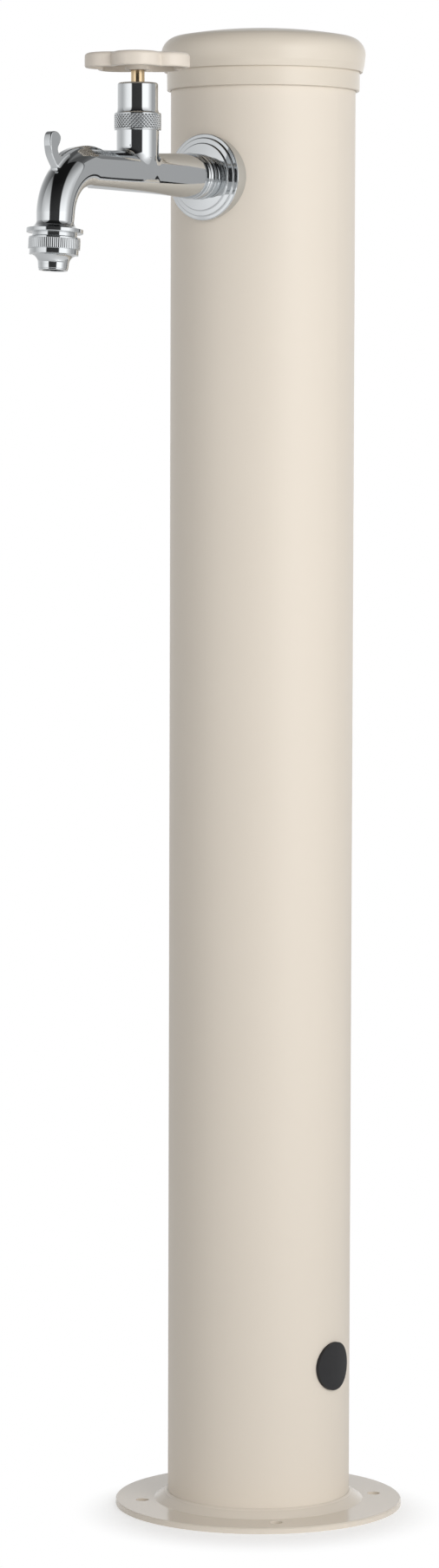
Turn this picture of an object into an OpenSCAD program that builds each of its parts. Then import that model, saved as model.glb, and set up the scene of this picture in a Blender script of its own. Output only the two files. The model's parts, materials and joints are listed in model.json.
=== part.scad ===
// Garden tap fountain: a painted steel column on a bolted round foot, with one
// chrome bib tap, its handwheel and hose nozzle, and the supply pipe inside.
// Origin at the centre of the foot's underside, +Z up, the tap points to -Y.

/* [Column] */
// Outside diameter of the column tube
column_d = 127; // [115:1:140]
// Wall of the column tube
column_wall = 2; // [1.5:0.1:3]
// Length of the column tube
column_len = 996; // [700:1:1200]
// From the top end of the tube down to the tap's axis
tap_drop = 78.6; // [60:0.1:150]

/* [Foot] */
// Thickness of the foot plate
base_t = 4; // [3:0.5:8]
// Radial width of the raised collar round the tube
collar_spread = 9.5; // [6:0.5:12]
// Height of the collar above the plate
collar_rise = 5.5; // [3:0.5:10]
// Flat left on top of the collar
collar_lip = 0.6; // [0.3:0.1:1.5]
// From the collar's edge out to the bolt hole centres
bolt_offset = 9; // [8:0.5:20]
// From the bolt hole centres out to the plate's edge
bolt_rim = 18; // [12:0.5:30]
// Diameter of the bolt holes
bolt_hole_d = 9; // [6:0.5:12]
// Number of bolt holes
bolt_count = 4; // [3:1:8]
// Ledge inside the tube that carries it
base_ledge = 6.5; // [3:0.5:12]
// Chamfer round the plate's top edge
base_edge = 0.8; // [0.3:0.1:1.2]

/* [Cap] */
// Wall of the moulded cap
cap_wall = 2.4; // [1.8:0.1:3.5]
// How far the cap reaches down over the tube
cap_overlap = 17; // [13:0.5:25]
// Height of the cap's lower band
cap_band_h = 12.3; // [8:0.1:13]
// Radial step between the band and the dome
cap_step = 1.9; // [1:0.1:3]
// How far the dome's side swells out
cap_swell = 2.2; // [0.5:0.1:3]
// Height of the dome's side up to its widest ring
cap_side_h = 12.2; // [10:0.1:16]
// Radius of the dome's shoulder
cap_shoulder_r = 12.6; // [8:0.1:16]
// Rise of the shallow crown above the shoulder
cap_crown = 5.4; // [2:0.1:9]

/* [Side plug] */
// From the plate's top up to the plug's axis
plug_rise = 100.3; // [60:0.1:200]
// Diameter of the plug's head
plug_head_d = 33.4; // [31:0.1:38]
// Thickness of the plug's head
plug_head_t = 2.2; // [1.5:0.1:4]
// Diameter of the side hole that the plug closes
plug_hole_d = 27; // [20:0.5:28]
// Wall of the plug's hollow stem
plug_wall = 2; // [1.2:0.1:3]
// Reach of the stem inside the tube wall
plug_stem = 10; // [6:0.5:14]

/* [Wall rosette] */
// From the column's surface to the rosette's face
rosette_proud = 8.2; // [7:0.1:14]
// Diameter of the rosette's face
rosette_face_d = 45; // [40:0.1:46]
// Diameter of the middle ring
rosette_ring_d = 52.4; // [50:0.1:54]
// Diameter of the outer rim
rosette_rim_d = 58.6; // [56:0.1:62]
// Drop from the face to the middle ring
rosette_drop = 1.7; // [1:0.1:2]
// Drop from the middle ring to the outer rim
rosette_rim_drop = 1.6; // [1:0.1:2]
// How much the wall draws in towards the column
rosette_taper = 2.5; // [0:0.1:3]

/* [Tap barrel] */
// Length of the turned neck next to the rosette
neck_len = 13; // [10:0.5:20]
// Diameter of the neck's two end collars
neck_d = 30.8; // [29:0.1:33]
// Depth of the turned groove round the neck
neck_groove = 0.6; // [0.3:0.1:1]
// Diameter of the barrel past the bonnet
barrel_d = 26.8; // [25.5:0.1:29]
// Diameter of the barrel round the bend
bend_d = 26; // [25:0.1:27]
// From the rosette's face to the bonnet's axis
bonnet_reach = 68.8; // [62:0.1:80]
// From the bonnet's axis to the start of the bend
bend_reach = 53.9; // [45:0.1:70]
// Radius of the bend's centre line
bend_r = 33; // [28:0.5:45]
// Lean of the spout outwards from vertical, in degrees
spout_lean = 4; // [0:0.5:10]
// Diameter of the spout below the bend
spout_d = 24.6; // [23:0.1:26]
// Straight length between the bend and the ring
spout_len = 10; // [8:0.1:16]
// Diameter of the ring above the nozzle
ring_d = 37.4; // [35:0.1:42]
// Thickness of the ring
ring_t = 3; // [2:0.1:5]
// Radius of the fillet above the ring
ring_fillet = 3; // [1:0.1:5]
// Diameter of the shoulder below the ring
shoulder_d = 29.6; // [28:0.1:33]
// Length of the shoulder below the ring
shoulder_len = 2.6; // [1.5:0.1:5]
// Outside diameter of the spout's thread, three quarter inch pipe
spout_thread_d = 26.44; // [25:0.01:27]
// Length of the spout's thread
spout_thread_len = 7.6; // [6:0.1:9]

/* [Bucket hook] */
// Thickness of the hook and of its rib
hook_t = 6; // [4:0.1:8]
// Height of the hook's tip above the tap's axis
hook_h = 22.2; // [20:0.1:30]
// Diameter of the hook's round tip
hook_tip_d = 11; // [9:0.1:13]
// Width of the hook's waist
hook_waist = 7.6; // [6:0.1:9]
// From the hook's root out to the centre of its round tip
hook_out = 6.6; // [4:0.1:8]
// Height of the rib over the bend
rib_h = 2; // [1:0.1:3]

/* [Waterway] */
// Bore of the inlet side
inlet_bore_d = 12; // [10:0.1:13]
// Bore of the passage under the seat
low_bore_d = 9.6; // [8:0.1:10]
// Drop of that passage below the tap's axis
low_bore_drop = 6.3; // [6.1:0.1:6.6]
// Bore through the valve seat
seat_bore_d = 10.4; // [10.2:0.1:11]
// Diameter of the raised valve seat
seat_d = 14; // [13:0.1:15]
// Height of the seat above the chamber's floor
seat_h = 2; // [1.5:0.1:3]
// Depth of the chamber's floor below the tap's axis
chamber_floor = 0.5; // [0.3:0.1:0.7]
// Bore of the port out of the chamber
port_d = 7; // [5:0.1:8]
// Height of the port above the tap's axis
port_rise = 4.8; // [4.5:0.1:5.5]
// Bore of the outlet side
outlet_bore_d = 14; // [12:0.1:16]

/* [Tap tail] */
// Outside diameter of the tail's thread, half inch pipe
tail_d = 20.955; // [20:0.001:22]
// Across flats of the back nut
backnut_af = 30; // [27:0.5:34]
// Thickness of the back nut
backnut_t = 7; // [5:0.5:10]
// Diameter of the saddle washer inside the column
saddle_d = 36; // [34:0.5:42]
// Least thickness of the saddle washer
saddle_t = 7.5; // [6:0.5:10]

/* [Supply pipe] */
// Outside diameter of the supply pipe
pipe_d = 15; // [14:0.5:16]
// Wall of the supply pipe
pipe_wall = 0.9; // [0.7:0.1:1.5]
// Height of the inlet connector's lower end above the ground
inlet_h = 30; // [20:1:80]
// Diameter of the elbow's threaded socket
socket_d = 27; // [25:0.5:30]
// Depth of the elbow's threaded socket
socket_depth = 12; // [10:0.5:15]
// From the socket's mouth to the elbow's corner
elbow_reach = 18; // [17:0.5:24]
// Metal left in the elbow between the tail's thread and the pipe's end
elbow_web = 1; // [0.6:0.1:3]
// Depth of the plain socket that holds the pipe
pipe_socket = 11; // [10:0.5:14]
// Outside diameter of the compression thread
compression_d = 21; // [20.5:0.1:23]
// Across flats of the compression nuts
compression_af = 24.5; // [24:0.5:28]
// Length of a compression nut
compression_nut_len = 16; // [14:0.5:20]
// Length of an olive
olive_len = 5.6; // [5:0.1:7]
// Length of the connector's male thread
inlet_thread_len = 14; // [10:0.5:20]
// Thickness of the connector's hexagon
inlet_hex_t = 6; // [4:0.5:10]
// Bore through the fittings
fitting_bore_d = 12; // [10:0.1:13]
// Thickness of the flat sealing washers
flat_washer_t = 1; // [0.8:0.1:1.5]

/* [Bonnet] */
// Diameter of the body's neck under the bonnet
bonnet_neck_d = 28.3; // [27.8:0.1:31]
// Height of that neck above the tap's axis
bonnet_neck_h = 27.3; // [25:0.1:32]
// Diameter of the valve chamber and of its thread
chamber_d = 19; // [18:0.1:20]
// Diameter of the cover's knurled collar
knurl_d = 31.2; // [30.5:0.1:35]
// Height of the knurled collar
knurl_h = 11.6; // [9:0.1:14]
// Height of the flare above the collar
flare_h = 3.6; // [2.5:0.1:6]
// Diameter of the bonnet cover
cover_d = 27; // [26.6:0.1:29]
// Wall of the bonnet cover
cover_wall = 1.3; // [1:0.1:1.5]
// Height of the bonnet cover over the body's neck
cover_h = 31.6; // [30:0.1:40]
// Rounding of the cover's top edge
cover_edge = 2.2; // [1:0.1:3]

/* [Headwork] */
// Across flats of the headwork's hexagon
headwork_af = 20; // [19:0.1:20.5]
// Height of the headwork's hexagon
headwork_hex_h = 6.7; // [5:0.1:8]
// Diameter of the turret that the cover screws on to
turret_d = 19.8; // [18:0.1:20]
// Height of the turret
turret_h = 9; // [8:0.1:11]
// Diameter of the gland's thread
gland_thread_d = 16; // [15:0.1:17]
// Height of the gland's thread
gland_thread_h = 6; // [5.5:0.1:7]
// Depth of the headwork's thread inside the neck
headwork_depth = 14.3; // [13:0.1:15]
// Across flats of the gland nut
gland_af = 17.5; // [17.5:0.1:20]
// Height of the gland nut
gland_nut_h = 7; // [6:0.1:8]
// Height of the gland packing
packing_h = 3; // [2:0.1:3.5]
// Wall of the gland packing
packing_wall = 2; // [1.5:0.1:2.2]

/* [Spindle and valve] */
// Diameter of the spindle
spindle_d = 9; // [8:0.1:9.4]
// Diameter of the spindle's lifting thread
spindle_thread_d = 11; // [10.6:0.1:11.4]
// Diameter of the spindle's foot
spindle_foot_d = 12; // [11.6:0.1:13]
// Height of the spindle's foot
spindle_foot_h = 5; // [4:0.1:6]
// Rise of the spindle from shut to full open
lift = 6.25; // [4:0.05:6.5]
// Diameter of the jumper's stem
jumper_stem_d = 6; // [5:0.1:7]
// Length of the jumper's stem
jumper_stem_len = 8; // [6:0.5:9]
// Thickness of the jumper's plate
jumper_plate_t = 2; // [1.5:0.1:3]
// Diameter of the tap washer
tap_washer_d = 12.8; // [12.2:0.1:13]
// Thickness of the tap washer
tap_washer_t = 3; // [2.5:0.1:4]
// Diameter of the jumper's threaded spigot
spigot_d = 4; // [3:0.1:4.4]
// Across flats of the washer's nut
washer_nut_af = 5.5; // [5:0.1:6.5]
// Thickness of the washer's nut
washer_nut_t = 2.4; // [1.6:0.1:3]

/* [Handwheel] */
// Gap between the bonnet cover and the wheel
wheel_gap = 9.4; // [7:0.1:14]
// Thickness of the wheel
wheel_t = 10.5; // [9:0.1:14]
// Number of lobes
lobe_count = 5; // [4:1:7]
// Diameter of one lobe
lobe_d = 33; // [31:0.5:36]
// From the wheel's centre to a lobe's centre
lobe_reach = 19.4; // [17:0.1:20]
// Diameter of the wheel's round middle
wheel_core_d = 55; // [50:0.5:58]
// Rounding of the wheel's edges
wheel_edge = 2.6; // [1:0.1:3.5]
// Wall of the wheel round its hollow underside
wheel_wall = 3; // [2:0.1:4]
// Depth of the wheel's hollow underside
wheel_hollow = 5; // [3:0.1:5.5]
// Diameter of the wheel's hub
hub_d = 17; // [15:0.5:20]
// Turn of the first lobe from the tap's direction
wheel_turn = 33; // [0:1:72]
// Across flats of the spindle's square end
square_w = 6.2; // [5.4:0.1:6.3]
// Diameter of the recess for the wheel's screw
screw_recess_d = 15; // [13:0.1:16]
// Depth of the recess for the wheel's screw
screw_recess_h = 3.2; // [3:0.1:4]
// Diameter of the screw's thread
screw_d = 4; // [3:0.1:4]
// Diameter of the screw's head
screw_head_d = 8; // [7:0.1:9]
// Length of the screw's thread below the washer
screw_len = 10; // [8:0.5:14]
// Diameter of the screw's washer
screw_washer_d = 12; // [11:0.1:12.8]

/* [Nozzle] */
// Diameter of the fluted grip
grip_d = 34; // [33:0.1:37]
// Length of the fluted grip
grip_len = 6.8; // [6:0.1:12]
// Diameter of the plain band below the grip
band_d = 32.4; // [32:0.1:34]
// Length of the plain band
band_len = 3.8; // [3.5:0.1:6]
// Length of the hollow cone below the band
cone_len = 5; // [3:0.1:8]
// Diameter at the cone's lower end
cone_end_d = 22; // [20:0.1:24]
// Diameter of the nozzle's lower end
outlet_d = 19.8; // [18.5:0.1:20]
// Length from the cone to the lower end
outlet_len = 5.8; // [4:0.1:12]
// Bore of the nozzle's outlet
jet_d = 15; // [12:0.1:16]
// Thickness of the nozzle's gasket
gasket_t = 2; // [1.5:0.1:2.4]
// Radial width of the gasket
gasket_w = 4.4; // [3:0.1:5]
// Thickness of the jet screen
screen_t = 0.8; // [0.5:0.1:1]
// Diameter of the jet screen's holes
screen_hole_d = 2; // [1:0.1:2.2]
// Pitch of the jet screen's holes
screen_pitch = 3.2; // [3:0.1:4]

/* [Fits] */
// Radial clearance of a screwed or turning fit
thread_fit = 0.05; // [0.02:0.01:0.1]
// Radial clearance of a hole that something passes through
pass_fit = 0.3; // [0.2:0.05:0.5]
// Gap of a loose cover to a curved face
cover_fit = 0.3; // [0.2:0.05:0.4]
// Gap between the nozzle's top and the shoulder above it
nozzle_gap = 0.3; // [0.2:0.05:0.5]

/* [Hidden] */
$fn = 96;

oyster = "#d9d0c1";
chrome = "#c6c9cc";
plug_black = "#343435";
brass = "#c7a35c";
copper = "#b87a56";
rubber_black = "#2b2b2c";
fibre_red = "#9a4a3c";
wheel_cream = "#ddd3c3";

// Overrun of every cut past the face it opens
cut = 1;
// Points on a quarter round of a turned outline
arc_steps = 6;

// Heights and radii of the column
column_r = column_d / 2;
column_in_r = column_r - column_wall;
column_top = base_t + column_len;
tap_z = column_top - tap_drop;
plug_z = base_t + plug_rise;

// Foot
collar_r = column_r + collar_spread;
bolt_circle_r = collar_r + bolt_offset;
base_r = bolt_circle_r + bolt_rim;
base_hole_r = column_in_r - base_ledge;
first_bolt_angle = 180 / bolt_count;

// Cap
cap_in_r = column_r + cover_fit;
cap_band_r = cap_in_r + cap_wall;
cap_dome_r = cap_band_r + cap_step;
cap_wide_r = cap_dome_r + cap_swell;
cap_bottom = column_top - cap_overlap;
cap_band_top = cap_bottom + cap_band_h;
cap_wide_z = cap_band_top + cap_side_h;
cap_ceiling_r = column_in_r;
cap_edge = cap_wall / 4;

// Places along the tap, outwards from the column's axis
face_u = column_r + rosette_proud;
neck_end_u = face_u + neck_len;
bonnet_u = face_u + bonnet_reach;
bend_u = bonnet_u + bend_reach;
tail_r = tail_d / 2;
saddle_u = column_in_r - saddle_t;
backnut_u = saddle_u - backnut_t;
socket_u = backnut_u - flat_washer_t;
tail_end_u = socket_u - socket_depth + flat_washer_t;
elbow_u = socket_u - elbow_reach;
elbow_drop = tail_r + elbow_web + pipe_socket;
barrel_r = barrel_d / 2;
bend_tube_r = bend_d / 2;
neck_r = neck_d / 2;
spout_r = spout_d / 2;

// Places down the spout from the end of the bend
ring_s = spout_len;
shoulder_s = ring_s + ring_t;
thread_s = shoulder_s + shoulder_len;
spout_end_s = thread_s + spout_thread_len;
spout_thread_r = spout_thread_d / 2;
nozzle_s = thread_s + nozzle_gap;
gasket_s = spout_end_s + thread_fit;
screen_s = gasket_s + gasket_t;
nozzle_floor_s = screen_s + screen_t;
band_s = nozzle_s + grip_len;
cone_s = band_s + band_len;
outlet_s = cone_s + cone_len;
nozzle_end_s = outlet_s + outlet_len;

// Valve heights above the tap's axis
chamber_r = chamber_d / 2;
seat_w = seat_h - chamber_floor;
plate_w = seat_w + tap_washer_t;
foot_w = plate_w + jumper_plate_t;
thread_gap = 2 * thread_fit;
headwork_seat_w = bonnet_neck_h + flat_washer_t;
headwork_low_w = bonnet_neck_h - headwork_depth;
turret_w = headwork_seat_w + headwork_hex_h;
gland_w = turret_w + turret_h;
headwork_top_w = gland_w + gland_thread_h;
cover_top_w = bonnet_neck_h + cover_h;
cover_land_h = turret_h / 2;
cover_in_r = cover_d / 2 - cover_wall;
packing_r = spindle_d / 2 + packing_wall + thread_fit;
packing_floor_w = headwork_top_w - packing_h - packing_wall * 3 / 4;
packing_top_w = packing_floor_w + packing_h;
gland_nut_w = gland_w + gland_thread_h / 2;
spindle_bore_r = spindle_d / 2 + thread_fit;
lift_bore_r = spindle_thread_d / 2 + thread_fit;
foot_cavity_r = spindle_foot_d / 2 + 2 * cover_fit + tap_washer_t / 4;
foot_cavity_w = foot_w + spindle_foot_h + lift + pass_fit;
lift_thread_top_w = turret_w + spindle_foot_h / 4;
lift_thread_low_w = foot_cavity_w + cover_fit - lift / 2;
lift_cavity_w = lift_thread_top_w + lift + pass_fit;

// Wheel heights above the tap's axis
wheel_w = cover_top_w + wheel_gap;
wheel_top_w = wheel_w + wheel_t;
hub_w = wheel_w + wheel_edge / 5;
recess_w = wheel_top_w - screw_recess_h;
square_top_w = recess_w - pass_fit;
wheel_core_r = wheel_core_d / 2;

// Compression joints
compression_r = compression_d / 2;
pipe_r = pipe_d / 2;
pipe_top_z = tap_z - elbow_drop + pipe_socket - pass_fit;
inlet_arm_z = inlet_h + inlet_thread_len + inlet_hex_t;
inlet_mouth_z = inlet_arm_z + pipe_socket;
pipe_low_z = inlet_arm_z + pass_fit;

function hex_r(af) = af / sqrt(3);
function arc_points(x, y, r, a0, a1) =
    [for (i = [0 : arc_steps]) let (a = a0 + (a1 - a0) * i / arc_steps) [x + r * cos(a), y + r * sin(a)]];

// A frame whose +Z runs outwards along the tap, u from the column's axis
module along_tap(u) {
    translate([0, -u, tap_z]) rotate([90, 0, 0]) children();
}

// A frame whose +Z rises along the bonnet, w above the tap's axis
module up_bonnet(w) {
    translate([0, -bonnet_u, tap_z + w]) children();
}

// The bend's frame: its flat x points at the end of the bend, where the spout starts
module bend_frame() {
    translate([0, -bend_u, tap_z - bend_r]) rotate([90, 0, -90]) rotate([0, 0, spout_lean]) children();
}

// A frame whose +Z runs down the spout, s from the end of the bend
module down_spout(s) {
    bend_frame() translate([bend_r, 0, 0]) rotate([90, 0, 0]) translate([0, 0, s]) children();
}

// A plate of a side view: its flat x runs outwards and its flat y upwards
module side_plate(t) {
    translate([0, 0, tap_z]) rotate([90, 0, -90]) translate([0, 0, -t / 2]) linear_extrude(t) children();
}

// A tube of radius r round the bend
module bend(r) {
    bend_frame() rotate_extrude(angle = 90 - spout_lean) translate([bend_r, 0]) circle(r = r);
}

module ring(r_in, r_out, h) {
    difference() {
        cylinder(r = r_out, h = h);
        translate([0, 0, -cut]) cylinder(r = r_in, h = h + 2 * cut);
    }
}

module hexagon(af, h) {
    cylinder(r = hex_r(af), h = h, $fn = 6);
}

// A hexagon whose corners are turned off at both ends
module nut_blank(af, h) {
    turned = (hex_r(af) - af / 2) / sqrt(3);
    intersection() {
        hexagon(af, h);
        rotate_extrude() polygon([
            [0, 0], [af / 2, 0], [hex_r(af), turned],
            [hex_r(af), h - turned], [af / 2, h], [0, h]
        ]);
    }
}

module base_flange() {
    color(oyster) difference() {
        rotate_extrude() polygon([
            [base_hole_r, 0], [base_r, 0], [base_r, base_t - base_edge],
            [base_r - base_edge, base_t], [collar_r, base_t],
            [column_r + collar_lip, base_t + collar_rise],
            [column_r + thread_fit, base_t + collar_rise],
            [column_r + thread_fit, base_t], [base_hole_r, base_t]
        ]);
        for (i = [0 : bolt_count - 1])
            rotate([0, 0, first_bolt_angle + 360 * i / bolt_count])
                translate([bolt_circle_r, 0, -cut]) cylinder(d = bolt_hole_d, h = base_t + 2 * cut);
    }
}

module column_tube() {
    color(oyster) difference() {
        translate([0, 0, base_t]) ring(column_in_r, column_r, column_len);
        along_tap(0) cylinder(r = tail_r + pass_fit, h = column_r + cut);
        translate([0, 0, plug_z]) rotate([0, 90, 0]) cylinder(d = plug_hole_d, h = column_r + cut);
    }
}

// The dome's outline from its lower edge to the centre of its crown
module dome_outline(inset) {
    r_wide = cap_wide_r - inset;
    shoulder = cap_shoulder_r - inset;
    crown_r = r_wide - cap_shoulder_r + shoulder * cos(crown_tilt);
    crown_z = cap_wide_z + shoulder * sin(crown_tilt);
    polygon(concat(
        [[0, cap_band_top + inset], [cap_dome_r - inset, cap_band_top + inset]],
        [for (i = [1 : arc_steps - 1]) let (t = i / arc_steps)
            [cap_dome_r - inset + cap_swell * sin(90 * t), cap_band_top + inset + (cap_side_h - inset) * t]],
        arc_points(r_wide - shoulder, cap_wide_z, shoulder, 0, crown_tilt),
        [for (i = [1 : arc_steps]) let (t = i / arc_steps)
            [crown_r * (1 - t), crown_z + cap_crown * (1 - (1 - t) * (1 - t))]]
    ));
}

// Slope of the shoulder where the crown starts, in degrees
crown_tilt = 76;

module top_cap() {
    color(oyster) difference() {
        union() {
            rotate_extrude() polygon([
                [0, cap_bottom], [cap_band_r - cap_edge, cap_bottom],
                [cap_band_r, cap_bottom + cap_edge], [cap_band_r, cap_band_top + cap_wall],
                [0, cap_band_top + cap_wall]
            ]);
            rotate_extrude() dome_outline(0);
        }
        translate([0, 0, cap_bottom - cut]) cylinder(r = cap_in_r, h = cap_overlap + cut);
        intersection() {
            translate([0, 0, cap_bottom]) cylinder(r = cap_ceiling_r, h = cap_overlap + cap_wide_z);
            union() {
                translate([0, 0, cap_bottom]) cylinder(r = cap_in_r, h = cap_overlap + cap_wall);
                rotate_extrude() dome_outline(cap_wall);
            }
        }
    }
}

module side_plug() {
    skin_r = column_r + cover_fit;
    stem_r = plug_hole_d / 2 - thread_fit;
    color(plug_black) difference() {
        union() {
            intersection() {
                translate([0, 0, plug_z])
                    rotate([0, 90, 0]) cylinder(d = plug_head_d, h = skin_r + plug_head_t);
                translate([0, 0, plug_z - plug_head_d]) difference() {
                    cylinder(r = skin_r + plug_head_t, h = 2 * plug_head_d);
                    translate([0, 0, -cut]) cylinder(r = skin_r, h = 2 * (plug_head_d + cut));
                }
            }
            translate([column_in_r - plug_stem, 0, plug_z])
                rotate([0, 90, 0]) cylinder(r = stem_r, h = plug_stem + column_wall + plug_head_t / 3);
        }
        translate([column_in_r - plug_stem - cut, 0, plug_z])
            rotate([0, 90, 0]) cylinder(r = stem_r - plug_wall, h = plug_stem + cut);
    }
}

module wall_rosette() {
    face_r = rosette_face_d / 2;
    ring_r = rosette_ring_d / 2;
    rim_r = rosette_rim_d / 2;
    ring_h = face_u - rosette_drop;
    rim_h = ring_h - rosette_rim_drop;
    lip = rosette_rim_drop / 2;
    color(chrome) difference() {
        along_tap(0) rotate_extrude() polygon([
            [tail_r + pass_fit, column_in_r - rosette_rim_d / 4],
            [rim_r - rosette_taper, column_in_r - rosette_rim_d / 4],
            [rim_r, rim_h - lip], [rim_r - lip / 2, rim_h], [ring_r + lip, rim_h + lip / 2],
            [ring_r, ring_h - lip / 2], [ring_r - lip / 2, ring_h], [face_r + lip, ring_h + lip / 2],
            [face_r, face_u - lip / 2], [face_r - lip / 2, face_u], [tail_r + pass_fit, face_u]
        ]);
        translate([0, 0, tap_z - rosette_rim_d]) cylinder(r = column_r + thread_fit, h = 2 * rosette_rim_d);
    }
}

// The hook's root sits at this angle on the bend, from its centre
hook_root_angle = 50;
// The hook's foot reaches this share of the barrel's radius into the bend
hook_root_share = 0.7;
// The hook's edges: shares of the tip's radius outwards, and of the hook's height upwards
hook_front_shares = [[0.85, 0.35], [0.6, 0.18], [0.24, 0.01], [-0.22, -0.14], [-0.58, -0.33]];
hook_back_shares = [[-0.42, 0.19], [-0.15, 0.25], [0, 0.36], [0.02, 0.48], [-0.2, 0.58]];

module hook_outline() {
    tip_r = hook_tip_d / 2;
    tip_w = hook_h - tip_r;
    root_u = bend_u + (bend_r + bend_tube_r) * cos(hook_root_angle);
    root_w = (bend_r + bend_tube_r) * sin(hook_root_angle) - bend_r;
    tip_u = root_u + hook_out;
    back_u = tip_u + tip_r * hook_front_shares[0][0] - hook_waist;
    rise = hook_h - root_w;
    inner_u = root_u - barrel_r * hook_root_share;
    translate([tip_u, tip_w]) circle(r = tip_r);
    polygon(concat(
        [[tip_u + tip_r, tip_w]],
        [for (p = hook_front_shares) [tip_u + tip_r * p[0], root_w + rise * p[1]]],
        [[inner_u, root_w - tip_r], [inner_u, root_w]],
        [for (p = hook_back_shares) [back_u + tip_r * p[0], root_w + rise * p[1]]],
        [[tip_u - tip_r, tip_w]]
    ));
}

module rib_outline() {
    out_r = bend_r + bend_tube_r;
    polygon(concat(
        [[bend_u - barrel_r, 0], [bend_u - barrel_r, barrel_r - rib_h / 4]],
        [for (i = [0 : arc_steps])
            let (a = 90 - (90 - hook_root_angle) * i / arc_steps, h = rib_h * (1 + i / arc_steps) / 2)
            [bend_u + (out_r + h) * cos(a), (out_r + h) * sin(a) - bend_r]],
        [[bend_u, 0]]
    ));
}

// The neck's turned grooves: shares of the groove's depth, and of the neck's length
neck_shares = [
    [0.5, 0], [0.5, 0.12], [1, 0.16], [1, 0.5], [0.5, 0.54],
    [0.5, 0.6], [1, 0.64], [1, 0.86], [0, 0.93], [0, 1]
];
// The barrel has drawn in to its own diameter at this share of the way from the bonnet to the bend
barrel_share = 0.45;

module tap_outside() {
    along_tap(tail_end_u) cylinder(r = tail_r, h = face_u - tail_end_u + neck_len / 2);
    along_tap(face_u) rotate_extrude() polygon(concat(
        [[0, 0]],
        [for (p = neck_shares) [neck_r - neck_groove * p[0], neck_len * p[1]]],
        [[0, neck_len]]
    ));
    along_tap(neck_end_u) rotate_extrude() polygon([
        [0, 0], [neck_r, 0], [barrel_r, bonnet_u - neck_end_u + bend_reach * barrel_share],
        [bend_tube_r, bend_u - neck_end_u], [0, bend_u - neck_end_u]
    ]);
    up_bonnet(0) cylinder(d = bonnet_neck_d, h = bonnet_neck_h);
    bend(bend_tube_r);
    down_spout(0) rotate_extrude() polygon(concat(
        [[0, 0], [bend_tube_r, 0], [spout_r, spout_len - ring_fillet]],
        arc_points(spout_r + ring_fillet, spout_len - ring_fillet, ring_fillet, 180, 90),
        [
            [ring_d / 2 - ring_t / 4, ring_s], [ring_d / 2, ring_s + ring_t / 4],
            [ring_d / 2, shoulder_s - ring_t / 4], [ring_d / 2 - ring_t / 4, shoulder_s],
            [shoulder_d / 2, shoulder_s], [shoulder_d / 2, thread_s],
            [spout_thread_r, thread_s], [spout_thread_r, spout_end_s], [0, spout_end_s]
        ]
    ));
    side_plate(hook_t) hook_outline();
    side_plate(hook_t) rib_outline();
}

module tap_waterway() {
    along_tap(tail_end_u - cut) cylinder(d = inlet_bore_d, h = bonnet_u - low_bore_start - tail_end_u + cut);
    translate([0, 0, -low_bore_drop])
        along_tap(bonnet_u - low_bore_start - inlet_bore_d / 2)
            cylinder(d = low_bore_d, h = low_bore_start + inlet_bore_d / 2 + low_bore_d * 2 / 5);
    up_bonnet(-low_bore_drop) cylinder(d = seat_bore_d, h = low_bore_drop + seat_w + cut);
    difference() {
        up_bonnet(-chamber_floor) cylinder(r = chamber_r, h = bonnet_neck_h + chamber_floor + cut);
        up_bonnet(-chamber_floor - cut) cylinder(d = seat_d, h = seat_h + cut);
    }
    translate([0, 0, port_rise])
        along_tap(bonnet_u + chamber_r / 2)
            cylinder(d = port_d, h = outlet_start - chamber_r / 2 + port_d / 4);
    along_tap(bonnet_u + outlet_start) cylinder(d = outlet_bore_d, h = bend_reach - outlet_start);
    bend(outlet_bore_d / 2);
    down_spout(0) cylinder(d = outlet_bore_d, h = spout_end_s + cut);
}

// The two wide bores stop this far from the valve chamber
inlet_land = 14;
outlet_land = 8;
low_bore_start = chamber_r + inlet_land;
outlet_start = chamber_r + outlet_land;

module tap_body() {
    color(chrome) difference() {
        tap_outside();
        tap_waterway();
    }
}

module saddle_washer() {
    color(rubber_black) difference() {
        intersection() {
            along_tap(saddle_u) cylinder(d = saddle_d, h = column_r - saddle_u);
            translate([0, 0, tap_z - saddle_d]) cylinder(r = column_in_r, h = 2 * saddle_d);
        }
        along_tap(saddle_u - cut) cylinder(r = tail_r + pass_fit, h = column_r - saddle_u + 2 * cut);
    }
}

module tail_backnut() {
    color(brass) along_tap(backnut_u) difference() {
        nut_blank(backnut_af, backnut_t);
        translate([0, 0, -cut]) cylinder(r = tail_r + thread_fit, h = backnut_t + 2 * cut);
    }
}

module tail_washer() {
    color(fibre_red) along_tap(socket_u - socket_depth) ring(fitting_bore_d / 2, tail_r, flat_washer_t);
}

// The end that a pipe enters, +Z towards the pipe, with its mouth at z = 0
module compression_end(h) {
    difference() {
        translate([0, 0, -h]) cylinder(r = compression_r, h = h);
        translate([0, 0, -pipe_socket]) cylinder(r = pipe_r + thread_fit, h = pipe_socket + cut);
        translate([0, 0, -olive_len / 3])
            cylinder(r1 = pipe_r, r2 = pipe_r + olive_len / 3, h = olive_len / 3);
        translate([0, 0, -h - cut]) cylinder(d = fitting_bore_d, h = h + cut);
    }
}

module olive() {
    r_in = pipe_r + thread_fit / 2;
    nose = olive_len / 3;
    rotate_extrude() polygon([
        [r_in, -nose + thread_gap], [r_in + thread_fit, -nose + thread_gap], [r_in + nose, thread_gap],
        [r_in + nose, nose], [r_in + thread_fit, olive_len - nose], [r_in, olive_len - nose]
    ]);
}

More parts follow.
